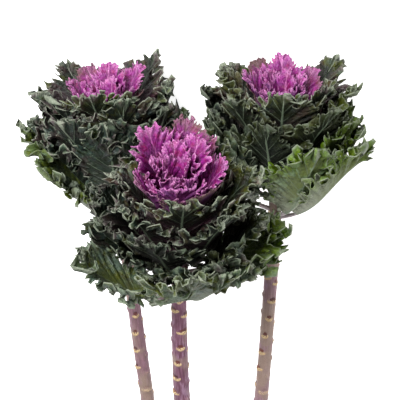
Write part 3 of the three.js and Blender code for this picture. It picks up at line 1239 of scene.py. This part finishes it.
class Value:
    """A shader socket with arithmetic: an expression on values adds its Math nodes."""

    def __init__(self, recipe: "Recipe", socket: bpy.types.NodeSocket) -> None:
        """Wraps a socket of a recipe's node tree."""
        self.recipe, self.socket = recipe, socket

    def __add__(self, other: "Value | float") -> "Value":
        """Adds."""
        return self.recipe.maths("ADD", self, other)

    def __sub__(self, other: "Value | float") -> "Value":
        """Takes away."""
        return self.recipe.maths("SUBTRACT", self, other)

    def __rsub__(self, other: float) -> "Value":
        """Takes this value away from a number."""
        return self.recipe.maths("SUBTRACT", other, self)

    def __mul__(self, other: "Value | float") -> "Value":
        """Multiplies."""
        return self.recipe.maths("MULTIPLY", self, other)

    def __truediv__(self, other: "Value | float") -> "Value":
        """Divides."""
        return self.recipe.maths("DIVIDE", self, other)

    def __rtruediv__(self, other: float) -> "Value":
        """Divides a number by this value."""
        return self.recipe.maths("DIVIDE", other, self)

    __radd__, __rmul__ = __add__, __mul__

    def between(self, low: float, high: float) -> "Value":
        """Eases from 0 to 1 between two of this value's levels.

        Args:
            low: Where the result is 0. It may be the larger of the two.
            high: Where it is 1.

        Returns:
            The eased value.
        """
        if low > high:
            return 1 - self.between(high, low)
        settings = {"interpolation_type": "SMOOTHSTEP"}
        inputs = {"Value": self, "From Min": low, "From Max": high}
        return self.recipe.node("ShaderNodeMapRange", settings, inputs)


class Recipe:
    """A new material and the ways to add nodes to it."""

    SHEEN = 0.35
    NOISE_RANGE = (0.28, 0.72)

    def __init__(self, name: str) -> None:
        """Makes the material, with its one shader.

        Args:
            name: The material's name.
        """
        self.material = bpy.data.materials.new(name)
        self.material.use_nodes = True
        self.tree = self.material.node_tree
        self.shader = self.tree.nodes["Principled BSDF"]

    def node(
        self, kind: str, settings: dict[str, Any], inputs: dict[str | int, Any], output: Any = 0
    ) -> Value:
        """Adds any node.

        Args:
            kind: The node's type.
            settings: Its own properties.
            inputs: What its sockets hold: values to link, numbers or colours.
            output: Which of its outputs to give.

        Returns:
            The output.
        """
        node = self.tree.nodes.new(kind)
        for name, setting in settings.items():
            setattr(node, name, setting)
        for name, value in inputs.items():
            self.feed(node.inputs[name], value)
        return Value(self, node.outputs[output])

    def feed(self, socket: bpy.types.NodeSocket, value: Any) -> None:
        """Links a value to a socket, or sets a number or a colour on it.

        Args:
            socket: The socket to feed.
            value: The value, number or colour.
        """
        if isinstance(value, Value):
            self.tree.links.new(value.socket, socket)
        else:
            socket.default_value = linear(value) if isinstance(value, str) else value

    def maths(self, operation: str, *values: Value | float) -> Value:
        """Adds a Math node."""
        return self.node("ShaderNodeMath", {"operation": operation}, dict(enumerate(values)))

    def mark(self, name: str) -> Value:
        """The number that the mesh's points carry under a name."""
        return self.node("ShaderNodeAttribute", {"attribute_name": name}, {}, "Fac")

    def marks(self, *names: str) -> list[Value]:
        """The numbers that the mesh's points carry under several names."""
        return [self.mark(name) for name in names]

    def lobe_middles(self) -> Value:
        """1 on the middle line of each lobe of a leaf's edge, and 0 between lobes."""
        return self.maths("ABSOLUTE", self.maths("SINE", self.mark("lobe") * math.pi))

    def blend(self, factor: Value | float, low: Value | str, high: Value | str) -> Value:
        """Mixes two colours, from low where the factor is 0 to high where it is 1."""
        inputs = {0: factor, 6: low, 7: high}
        return self.node("ShaderNodeMix", {"data_type": "RGBA"}, inputs, 2)

    def layers(self, base: Value | str, *coats: tuple[Value, Value | str]) -> Value | str:
        """Lays colours over a base in turn.

        Args:
            base: The lowest colour.
            coats: How strong each colour over it is, and the colour.

        Returns:
            The top of them all.
        """
        for factor, shade in coats:
            base = self.blend(factor, base, shade)
        return base

    def noise(self, grain: float, detail: float = 2.0, seed: float = 0.0) -> Value:
        """Smooth random values over the object.

        Args:
            grain: The size of their grains, in millimetres.
            detail: How many finer grains lie in them.
            seed: Moves them, so that two noises differ.

        Returns:
            Values from 0 to 1.
        """
        place = self.node("ShaderNodeTexCoord", {}, {}, "Object")
        moved = {0: place, 1: (seed, 2 * seed, seed)}
        place = self.node("ShaderNodeVectorMath", {"operation": "ADD"}, moved)
        inputs = {"Vector": place, "Scale": 1 / (grain * MM), "Detail": detail}
        return self.node("ShaderNodeTexNoise", {}, inputs).between(*self.NOISE_RANGE)

    def cells(self, grain: float) -> Value:
        """A net of cells.

        Args:
            grain: The size of a cell, in millimetres.

        Returns:
            The distance from the cells' borders, as a share of their size.
        """
        place = self.node("ShaderNodeTexCoord", {}, {}, "Object")
        settings = {"feature": "DISTANCE_TO_EDGE"}
        inputs = {"Vector": place, "Scale": 1 / (grain * MM)}
        return self.node("ShaderNodeTexVoronoi", settings, inputs)

    def finish(
        self, colour: Value | str, roughness: Value, height: Value, relief: float
    ) -> bpy.types.Material:
        """Feeds the shader.

        Args:
            colour: The base colour.
            roughness: The roughness.
            height: The relief, from 0 to 1.
            relief: How high 1 stands, in millimetres.

        Returns:
            The finished material.
        """
        inputs = {"Height": height, "Distance": relief * MM, "Strength": 1.0}
        bump = self.node("ShaderNodeBump", {}, inputs, "Normal")
        fed = {"Base Color": colour, "Roughness": roughness, "Normal": bump}
        for name, value in {**fed, "Specular IOR Level": self.SHEEN}.items():
            self.feed(self.shader.inputs[name], value)
        return self.material


@dataclass(frozen=True)
class Veins:
    """Where a leaf's midrib and veins run, in its own marks.

    Widths are in millimetres, and the rib's goes from foot to tip. A vein runs out to every
    few lobes, with finer ones between. The veins stand closer near the midrib, by closing,
    and fade towards the edge, by fading. They begin at a share of the way out.
    """

    rib_width: Pair
    vein_width: float
    lobe_width: float
    main_from: float = 0.02
    fine_from: float = 0.35
    fine_width: float = 0.6
    closing: float = 0.75
    fading: float = 0.55

    def rib(self, recipe: Recipe) -> Value:
        """The midrib's mask.

        Args:
            recipe: The material.

        Returns:
            The mask.
        """
        wide, thin = self.rib_width
        width = wide - recipe.mark("along") * (wide - thin)
        return (recipe.mark("from_rib") / width).between(1.0, 0.35)

    def fan(self, recipe: Recipe, lobes: float, width: float, spread: float) -> Value:
        """The mask of veins that fan out from the midrib.

        Args:
            recipe: The material.
            lobes: How many lobes each vein serves.
            width: A vein's width.
            spread: Share of the way out at which the veins begin.

        Returns:
            The mask, fading towards the leaf's edge.
        """
        across = recipe.mark("across")
        turned = recipe.mark("lobe") * (math.pi / lobes) + math.pi / 2
        off = recipe.maths("ABSOLUTE", recipe.maths("SINE", turned))
        spacing = self.lobe_width * lobes / math.pi
        apart = (across * self.closing + (1 - self.closing)) * spacing
        line = (off * apart / width).between(1.0, 0.3)
        began = across.between(spread * 0.6, spread + 0.02)
        return line * began * (1 - across * self.fading) * recipe.mark("along").between(0.0, 0.08)

    def masks(self, recipe: Recipe) -> tuple[Value, Value, Value]:
        """The masks of the midrib, of the side veins, and of the finer ones.

        Args:
            recipe: The material.

        Returns:
            The three masks.
        """
        lobes, thin = LOBING.vein_lobes, self.vein_width * self.fine_width
        main = self.fan(recipe, lobes, self.vein_width, self.main_from)
        return self.rib(recipe), main, self.fan(recipe, lobes / 3, thin, self.fine_from)


@dataclass
class LeafMasks:
    """What the finish of a leaf reads: some noises, its points' marks and its veins."""

    recipe: Recipe
    veins: Veins
    patches: Value
    speckle: Value
    crinkle: Value
    warm: Value
    cool: Value

    def __post_init__(self) -> None:
        """Reads the marks and lays the veins."""
        r = self.recipe
        self.rib, self.main, self.fine = self.veins.masks(r)
        self.under, self.rank, self.tint = r.marks("under", "rank", "tint")
        self.margin, self.along, self.across = r.marks("margin", "along", "across")
        self.tip = r.lobe_middles()
        self.grooved = 0.5 - (self.rib + self.main * 0.8 + self.fine * 0.5) * 0.35


class GreenMasks(LeafMasks):
    """What the finish of a green leaf reads besides: its painted light, its painted shade and its
    age, which also brings painted light to outer leaves.
    """

    def __post_init__(self) -> None:
        """Reads the marks."""
        super().__post_init__()
        r = self.recipe
        self.lit, self.painted_shade = r.marks("lit", "painted_shade")
        # Low, old leaves: their own paler grey, and painted light, as they lie outside the head's
        # shade.
        self.oldest_and_unshaded = (1 - self.rank * 3.0).between(0.0, 1.0)
        self.cells = r.cells(2.6).between(0.0, 0.16)
        dusk = r.noise(12.0, 2.0, 2.0) - self.tint * 0.3 + self.rank * 0.6 - self.lit * 0.3
        self.purple = dusk.between(0.8, 1.3)


@dataclass(frozen=True)
class GreenLeaf:
    """The finish of the green leaves: dark above, with a grey bloom below, and painted light,
    shade and highlights in its colour.
    """

    above: str = "#0e1c05"
    above_olive: str = "#444c08"
    # Painted light: the bright yellow-green of lit leaves, on the upper face.
    above_lit: str = "#688a05"
    # Pale grey-green of old leaves, brightened as painted light on outer leaves.
    above_old_unshaded: str = "#6a7b5c"
    below: str = "#1a2c18"
    below_pale: str = "#496344"
    # Pale grey of old leaves' undersides, brightened as painted light on outer leaves.
    below_bare_unshaded: str = "#8b9c8b"
    below_young: str = "#3a3e3a"
    # Painted light: the bright yellow-green of lit leaves, on the under face.
    below_lit: str = "#6a8a1a"
    vein: str = "#7c8c74"
    # Painted highlight: the thin pale rim along the edge.
    edge: str = "#8f9684"
    olive: str = "#565a06"
    bloom: str = "#4c6361"
    plum: str = "#4a2a31"
    # Painted shade: near-black laid towards the midrib, in crinkles and on crowded leaves.
    shade: str = "#040b03"
    # Painted highlight: the pale frosted lobe tips, green and plum.
    frost_highlight: str = "#67785c"
    frost_highlight_plum: str = "#827076"
    blush: str = "#5b2448"
    stalk: str = "#96797f"
    stalk_pale: str = "#c4b9bf"
    stalk_green: str = "#adb0a0"
    veins: Veins = Veins((3.2, 0.7), 0.36, GREEN.frill.lobe_width)

    def material(self) -> bpy.types.Material:
        """Makes the material: its two faces, then age, painted light and painted shade, then veins
        and edges with their painted highlights.

        Returns:
            The material.
        """
        r = Recipe("green_leaf")
        m = GreenMasks(
            recipe=r,
            veins=self.veins,
            patches=r.noise(24.0),
            speckle=r.noise(1.3, 3.0),
            crinkle=r.noise(2.6, 1.0, 6.0),
            warm=r.noise(9.0, 2.0, 5.0),
            cool=r.noise(8.0, 3.0, 9.0),
        )
        colour = self.edged(m, self.age_and_painted_light(m, self.faces(m)))
        roughness = 0.42 + m.under * 0.12 + m.speckle * 0.12
        height = m.grooved + m.cells * 0.16 + m.speckle * 0.05
        height = height + m.crinkle * m.across.between(0.05, 0.5) * 0.7
        return r.finish(colour, roughness, height, 0.75)

    def faces(self, m: GreenMasks) -> Value:
        """The colours of the two faces, with how old the leaf is and the painted light on lit and
        outer leaves.

        Args:
            m: What the finish reads.

        Returns:
            The colour.
        """
        aging = m.patches * 0.5 + m.warm * 0.5 + m.tint * 0.35 + m.oldest_and_unshaded * 0.5
        upper = m.recipe.layers(
            self.above,
            (aging.between(0.2, 1.1), self.above_olive),
            (m.oldest_and_unshaded * (m.cool * 0.3 + 0.55), self.above_old_unshaded),
            (m.lit * (m.patches * 0.5 + 0.5), self.above_lit),
        )
        pale = (0.75 - m.rank * 0.75 + m.patches * 0.4 + m.tint * 0.3).between(0.05, 1.2)
        lower = m.recipe.layers(
            self.below,
            (pale, self.below_pale),
            (m.oldest_and_unshaded * 0.9, self.below_bare_unshaded),
            (m.lit * (m.patches * 0.4 + 0.5 - m.oldest_and_unshaded * 0.35), self.below_lit),
            (m.margin.between(9.0, 1.0) * 0.55, upper),
            ((m.rank + m.patches * 0.3).between(0.4, 1.1) * 0.8, self.below_young),
        )
        return m.recipe.blend(m.under, upper, lower)

    def age_and_painted_light(self, m: GreenMasks, colour: Value) -> Value | str:
        """Lays olive, bloom and plum over the faces, in patches, then painted shade towards the
        midrib, in crinkles and on crowded leaves, and painted light on lit leaves.

        Args:
            m: What the finish reads.
            colour: The faces' colour.

        Returns:
            The new colour.
        """
        warmth = (m.warm + m.tint * 0.4 + m.lit * 0.2).between(0.45, 0.8)
        bloom = (m.cool - m.tint * 0.25 - m.lit * 0.3).between(0.5, 0.9)
        # Painted shade: the leaf darkens towards its midrib, where it lies deep in the head.
        depth = m.across.between(1.0, 0.2) * 0.8 + (1 - m.cool) * 0.2
        # Painted light: a yellow-green glow on lit leaves, less on their undersides.
        glow = m.lit * (m.warm * 0.8 + 0.1) * (1 - m.under * m.across.between(1.0, 0.5) * 0.9)
        faded = m.oldest_and_unshaded * m.across.between(0.6, 0.1) * (m.patches * 0.4 + 0.4)
        bare = m.oldest_and_unshaded * m.along.between(0.75, 0.1) * m.under
        return m.recipe.layers(
            colour,
            (warmth * (0.8 - m.under * 0.15), self.olive),
            (bloom * 0.5, self.bloom),
            (m.purple * 0.6, self.plum),
            # Painted shade towards the midrib, lifted on outer and lit leaves.
            (depth * (1 - m.oldest_and_unshaded * 0.8 - m.lit * 0.3), self.shade),
            # Painted light: the glow of lit leaves.
            (glow, self.above_lit),
            (faded * (1 - m.under * 0.6), self.olive),
            (bare * 0.8, self.stalk_green),
            # Painted shade in the hollows of the crinkles.
            ((1 - m.crinkle) * m.across.between(0.05, 0.5) * 0.45, self.shade),
            # Painted shade on crowded leaves half way up the head.
            (m.painted_shade * 0.72, self.shade),
        )

    def edged(self, m: GreenMasks, colour: Value | str) -> Value | str:
        """Lays the blush, the veins, the painted highlights of the frosted tips and of the rim,
        and the stalk over a colour.

        Args:
            m: What the finish reads.
            colour: The colour.

        Returns:
            The new colour.
        """
        blush = m.rank.between(0.35, 1.0) * m.along.between(0.85, 0.1) * (m.patches * 0.6 + 0.4)
        veined = m.rib * 0.75 + m.main * 0.5 + m.fine * 0.3 + (1 - m.cells) * 0.12
        # Painted highlight on the frosted tips of the lobes near the edge.
        frost_highlight = m.margin.between(3.0, 0.2) * m.tip * (m.cool * 0.45 + 0.1)
        # Painted highlight: a thin pale rim right at the edge, with pale specks near it.
        rim = m.margin.between(0.75, 0.15) * (m.tip * 0.6 + m.speckle * 0.25)
        rim = rim + m.margin.between(2.6, 0.3) * m.speckle.between(0.5, 0.9) * 0.25
        paleness = (m.patches * 0.5 + m.under * 0.5).between(0.1, 1.0)
        stalk = m.recipe.blend(paleness, self.stalk, self.stalk_pale)
        frost_highlighted = m.recipe.blend(m.purple, self.frost_highlight, self.frost_highlight_plum)
        return m.recipe.layers(
            colour,
            (blush * 0.85, self.blush),
            (veined.between(0.0, 1.0) * (m.under * 0.35 + 0.5), self.vein),
            # Painted highlights of the edge, dimmed where painted shade falls.
            (frost_highlight * (1 - m.painted_shade * 0.65), frost_highlighted),
            (rim * (1 - m.painted_shade * 0.6), self.edge),
            (m.along.between(0.12, -0.1) * (0.7 + m.under * 0.3), stalk),
            (m.speckle * 0.12, self.above),
        )


@dataclass(frozen=True)
class HeartLeaf:
    """The finish of the hearts' leaves: magenta, with pale veins, painted shade at the foot and
    painted highlights at the edge.
    """

    blade: str = "#7c0d6a"
    blade_pale: str = "#9a258a"
    # Painted shade: deep magenta at the leaf's foot and in the hollows of its crinkles.
    deep_shade: str = "#3d0226"
    ruby: str = "#96124f"
    vein: str = "#d07cb8"
    # Painted highlights: pale pink on the lobes' tips and in the fringe.
    edge: str = "#d98ac0"
    fringe_highlight: str = "#e2a2d4"
    old_edge: str = "#57512c"
    lilac: str = "#91589a"
    veins: Veins = Veins((3.4, 1.0), 0.42, HEART.frill.lobe_width)

    def material(self) -> bpy.types.Material:
        """Makes the material.

        Returns:
            The material.
        """
        r = Recipe("heart_leaf")
        m = LeafMasks(
            recipe=r,
            veins=self.veins,
            patches=r.noise(16.0),
            speckle=r.noise(1.1, 3.0),
            crinkle=r.noise(2.0, 1.0, 6.0),
            warm=r.noise(6.0, 2.0, 4.0),
            cool=r.noise(7.0, 2.0, 8.0),
        )
        pale = (m.along + m.patches * 0.5 + m.tint * 0.2).between(0.2, 1.3)
        lilac = m.under * (0.4 + m.tint * 0.4) + m.cool.between(0.5, 1.0) * 0.4
        # Painted shade: darker at the foot and towards the midrib, deep in the heart.
        foot_shade = m.along.between(0.5, -0.1) + m.across.between(0.8, 0.2) * (0.5 - m.under * 0.3)
        veined = (m.rib * 0.8 + m.main * 0.5 + m.fine * 0.25).between(0.0, 1.0)
        # Painted highlight: pale specks along the fringe.
        fringe_highlight = m.speckle.between(0.35, 0.8) * m.margin.between(3.2, 0.3)
        old = (1 - m.rank * 2.6 + m.patches * 0.5).between(0.35, 1.2)
        colour = r.layers(
            self.blade,
            (pale, self.blade_pale),
            (m.warm.between(0.4, 1.0) * 0.6, self.ruby),
            (lilac, self.lilac),
            (foot_shade * 0.75, self.deep_shade),
            (veined * (0.35 + m.tint * 0.3), self.vein),
            # Painted highlight on the lobes' tips.
            (m.margin.between(3.5, 0.2) * (0.25 + m.cool * 0.5) * m.tip, self.edge),
            # Painted shade in the hollows of the crinkles.
            ((1 - m.crinkle) * (0.5 - veined * 0.3), self.deep_shade),
            # Painted highlight in the fringe.
            (fringe_highlight * 0.42, self.fringe_highlight),
            (old * m.margin.between(7.0, 1.0) * 0.75, self.old_edge),
        )
        height = m.grooved + m.speckle * 0.08 + m.crinkle * 0.6
        return r.finish(colour, 0.45 + m.speckle * 0.12, height, 0.65)


@dataclass(frozen=True)
class StemSkin:
    """The finish of a bare stem: mauve and streaked, with painted lilac highlights along the
    streaks, and cream scars below dark buds.

    A scar is a crescent. Its lower line bends up at the sides by scar_bowl and lies
    scar_depth below the middle, it reaches scar_half to each side, and its outline is rough
    by scar_rough. Scars differ in width and strength by sines of their number.
    """

    bark: str = "#8d6276"
    bark_dark: str = "#643f50"
    # Painted highlight: lighter lilac along the streaks, in patches.
    bark_lilac_highlight: str = "#9f8099"
    bark_tan: str = "#9c8a78"
    bark_pink: str = "#ad9392"
    scar: str = "#d9bf92"
    bud: str = "#3d1c28"
    rust: str = "#7c3f25"
    flesh: str = "#c9c7a0"
    streak_round: float = 2.2
    streak_along: float = 0.035
    scar_bowl: float = 0.09
    scar_depth: float = 2.5
    scar_half: float = 4.3
    scar_rough: float = 1.3
    bud_height: float = 1.5
    width_pace: float = 4.7
    width_swing: float = 0.3
    strength_pace: float = 2.3

    def material(self) -> bpy.types.Material:
        """Makes the material.

        Returns:
            The material.
        """
        r = Recipe("stem_skin")
        along, sine, cosine, cut, tan = r.marks("along", "sine", "cosine", "cut", "tan")
        patches, speckle, blotches = r.noise(18.0), r.noise(0.9, 3.0), r.noise(30.0, 3.0, 3.0)
        streaks = self.streaks(r, along, sine, cosine)
        scars, buds = self.scars(r, along, sine, cosine, speckle)
        worn = speckle * 0.5
        scars, buds = (scars - worn * 0.6).between(0.0, 0.6), (buds - worn).between(0.0, 0.7)
        tanned = (blotches + tan * 0.45).between(0.55, 1.05)
        colour = r.layers(
            self.bark_dark,
            (streaks, self.bark),
            (tan * 0.55, self.bark_pink),
            # Painted highlight along the streaks.
            ((patches * streaks).between(0.3, 0.8) * 0.8, self.bark_lilac_highlight),
            (tanned * 0.75, self.bark_tan),
            (buds * 0.9, r.blend(patches, self.bud, self.rust)),
            (scars, r.blend(speckle.between(0.3, 0.9) * 0.45, self.scar, self.rust)),
            (speckle * 0.2, self.bark_dark),
            (cut, r.blend(speckle * 0.5, self.flesh, self.bark_tan)),
        )
        roughness = 0.5 + speckle * 0.2 - scars * 0.1
        height = streaks * 0.4 + speckle * 0.15 + scars * 0.25 - buds * 0.5
        return r.finish(colour, roughness, height, 0.5)

    def streaks(self, recipe: Recipe, along: Value, sine: Value, cosine: Value) -> Value:
        """Noise drawn out along the stem.

        Args:
            recipe: The material.
            along: Distance up the scars' spiral.
            sine: Sine of the angle round the stem.
            cosine: Cosine of it.

        Returns:
            Values from 0 to 1.
        """
        places = {0: sine * self.streak_round, 1: along * self.streak_along}
        places[2] = cosine * self.streak_round
        place = recipe.node("ShaderNodeCombineXYZ", {}, places)
        noise = {"Vector": place, "Scale": 2.6, "Detail": 4.0}
        return recipe.node("ShaderNodeTexNoise", {}, noise).between(0.3, 0.7)

    def scars(
        self, recipe: Recipe, along: Value, sine: Value, cosine: Value, speckle: Value
    ) -> tuple[Value, Value]:
        """The masks of all scars and buds, from the three that are nearest to each point.

        Args:
            recipe: The material.
            along: Distance up the scars' spiral.
            sine: Sine of the angle round the stem.
            cosine: Cosine of it.
            speckle: A fine noise that makes the outlines rough.

        Returns:
            The scars' mask and the buds'.
        """
        scars = buds = 0.0
        middle = recipe.maths("ROUND", along / SCAR.pitch)
        for step in (-1, 0, 1):
            nth = middle + step
            angle = nth * SCAR.turn
            sin, cos = recipe.maths("SINE", angle), recipe.maths("COSINE", angle)
            wider = 1 + recipe.maths("SINE", nth * self.width_pace) * self.width_swing
            strength = recipe.maths("SINE", nth * self.strength_pace).between(-0.9, -0.2)
            faces = (sine * sin + cosine * cos).between(0.1, 0.3) * (strength * 0.8 + 0.2)
            round_by = (sine * cos - cosine * sin) * SCAR.radius * wider
            up = along - nth * SCAR.pitch + (speckle - 0.5) * self.scar_rough
            scars = scars + self.crescent(recipe, up, round_by) * faces
            buds = buds + self.bud_spot(up, round_by) * faces
        return scars, buds

    def crescent(self, recipe: Recipe, up: Value, round_by: Value) -> Value:
        """The mask of a scar's pale crescent.

        Args:
            recipe: The material.
            up: Distance up the stem from the scar's middle.
            round_by: Distance round the stem from it.

        Returns:
            The mask.
        """
        bowl = round_by * round_by * self.scar_bowl
        low = (up - bowl + self.scar_depth).between(-0.3, 0.3)
        high = (up - bowl * 0.4).between(0.5, -0.2)
        sides = recipe.maths("ABSOLUTE", round_by).between(self.scar_half, self.scar_half - 1)
        return low * high * sides

    def bud_spot(self, up: Value, round_by: Value) -> Value:
        """The mask of the dark spot above a scar, from the same distances."""
        above = up - self.bud_height
        return (above * above * 0.22 + round_by * round_by * 0.1).between(1.0, 0.35)


# ------------------------------------------------------------------ studio


@dataclass(frozen=True)
class Lamp:
    """A soft white area light, aimed at the heads."""

    name: str
    place: Triple
    width: float
    power: float
    aim: Triple = (0, 80, 80)

    def build(self) -> None:
        """Makes the light."""
        light = bpy.data.lights.new(self.name, "AREA")
        light.size, light.energy = self.width * MM, self.power
        lamp = add_object(self.name, light)
        lamp.location = Vector(self.place) * MM
        aim = Vector(self.aim) * MM - lamp.location
        lamp.rotation_euler = aim.to_track_quat("-Z", "Y").to_euler()


@dataclass(frozen=True)
class Studio:
    """The pale floor, the soft lights and the camera that looks down on the bunch."""

    elevation: float = 73.0
    distance: float = 1300.0
    target: Triple = (5.9, 94.5, 0.0)
    target_rise: float = 95.0
    view_width: float = 320.0
    sensor: float = 36.0
    farthest: float = 50.0
    floor_size: float = 9000.0
    floor_shade: str = "#f4f4f4"
    floor_roughness: float = 0.9
    floor_glow: float = 0.85
    world_strength: float = 0.1
    key: Lamp = Lamp("key", (-500, 800, 1100), width=700, power=30)
    fill: Lamp = Lamp("fill", (800, -200, 1100), width=900, power=10)

    def build(self) -> None:
        """Makes the floor, the lights, the world and the camera."""
        self.build_camera()
        self.build_floor()
        self.key.build()
        self.fill.build()
        world = bpy.data.worlds.new("studio")
        world.use_nodes = True
        background = world.node_tree.nodes["Background"]
        background.inputs["Strength"].default_value = self.world_strength
        background.inputs["Color"].default_value = (1, 1, 1, 1)
        bpy.context.scene.world = world
        bpy.context.scene.view_settings.view_transform = "Standard"

    def build_camera(self) -> None:
        """Makes the camera, with the heads of the bunch at the top of its picture."""
        tilt = math.radians(self.elevation)
        back = Vector((0, math.cos(tilt), math.sin(tilt)))
        up = Vector((0, math.sin(tilt), -math.cos(tilt)))
        data = bpy.data.cameras.new("camera")
        data.sensor_width = self.sensor
        data.lens = data.sensor_width * self.distance / self.view_width
        data.clip_end = self.farthest
        camera = add_object("camera", data)
        place = (Vector(self.target) + back * (self.target_rise + self.distance)) * MM
        basis = Matrix((Vector((1, 0, 0)), up, back)).transposed()
        camera.matrix_world = Matrix.Translation(place) @ basis.to_4x4()
        bpy.context.scene.camera = camera

    def build_floor(self) -> None:
        """Makes the plain floor, which glows a little so that shadows on it stay pale."""
        paper = Recipe("floor")
        white = (1, 1, 1, 1)
        looks = {"Base Color": self.floor_shade, "Roughness": self.floor_roughness}
        glow = {"Emission Color": white, "Emission Strength": self.floor_glow}
        for name, value in {**looks, **glow}.items():
            paper.feed(paper.shader.inputs[name], value)
        half = self.floor_size * MM / 2
        mesh = bpy.data.meshes.new("floor")
        corners = [(-half, -half, 0), (half, -half, 0), (half, half, 0), (-half, half, 0)]
        mesh.from_pydata(corners, [], [(0, 1, 2, 3)])
        mesh.materials.append(paper.material)
        add_object("floor", mesh)


# ------------------------------------------------------------------ the bunch


class Bunch:
    """The three plants and how they lie on one another."""

    def __init__(self) -> None:
        """Places the plants and sets the limits between them."""
        self.front = Plant(
            name="front",
            seed=13,
            head_height=157,
            green_leaves=23,
            base=(-11.1, 44.5, 104),
            slope=19.6,
            yaw=0.1,
            lift=0,
            cut_end=(1.4, -227.5, 7.3),
            stem_top=6.2,
            stem_bottom=7.6,
            low_azimuths=(-75, 102, -168, 23, 11),
            spiral_start=102,
            heart_start=33,
            heart_size=1.18,
            stem_tan=0.0,
            painted_shade=0.8,
        )
        self.left = Plant(
            name="left",
            seed=6,
            head_height=161,
            green_leaves=20,
            base=(-58.1, 87.5, 47),
            slope=5.6,
            yaw=-5.8,
            lift=18,
            cut_end=(-21.1, -225.5, 5.9),
            stem_top=5.2,
            stem_bottom=6.0,
            low_azimuths=(104, -95, -120, 96, -177),
            spiral_start=3,
            heart_start=64,
            heart_size=0.88,
            stem_tan=0.55,
            painted_shade=0.1,
        )
        self.right = Plant(
            name="right",
            seed=12,
            head_height=156,
            green_leaves=20,
            base=(67.9, 94.5, 47),
            slope=6,
            yaw=2,
            lift=9,
            cut_end=(47.9, -227.5, 6.3),
            stem_top=5.5,
            stem_bottom=6.4,
            low_azimuths=(54, 24, -79, -176, 76),
            spiral_start=-72,
            heart_start=-144,
            heart_size=0.88,
            stem_tan=0.85,
            painted_shade=1.0,
        )
        self.set_limits()

    def set_limits(self) -> None:
        """Sets the planes that keep the heads apart, off the surface and off the stems."""
        front, left, right = self.front, self.left, self.right
        upwards = np.array([0, 0, 1.0])
        surface = Limit(np.zeros(3), upwards, GIVE.surface_gap, GIVE.surface_firmness)
        lift = left.stem_top + SCAR_HEIGHT
        on_stems = Limit(left.axes.root + lift * left.axes.sky, left.axes.sky)
        front.limits = [front.halfway(left), front.halfway(right), on_stems]
        left.limits = [left.halfway(front), left.halfway(right), surface]
        right.limits = [right.halfway(front), right.halfway(left), surface]

    def build(self) -> None:
        """Makes every piece of the three plants."""
        green, purple = GreenLeaf().material(), HeartLeaf().material()
        bark = StemSkin().material()
        for plant in (self.front, self.left, self.right):
            Stem(plant).build(bark)
            LeafHead(plant, GREEN).build(green)
            LeafHead(plant, HEART).build(purple)


def main() -> None:
    """Builds the bunch in its studio; each piece's face count is logged as it is made."""
    logging.basicConfig(level=logging.INFO, format="%(message)s")
    Studio().build()
    Bunch().build()
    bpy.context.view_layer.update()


if __name__ == "__main__":
    main()
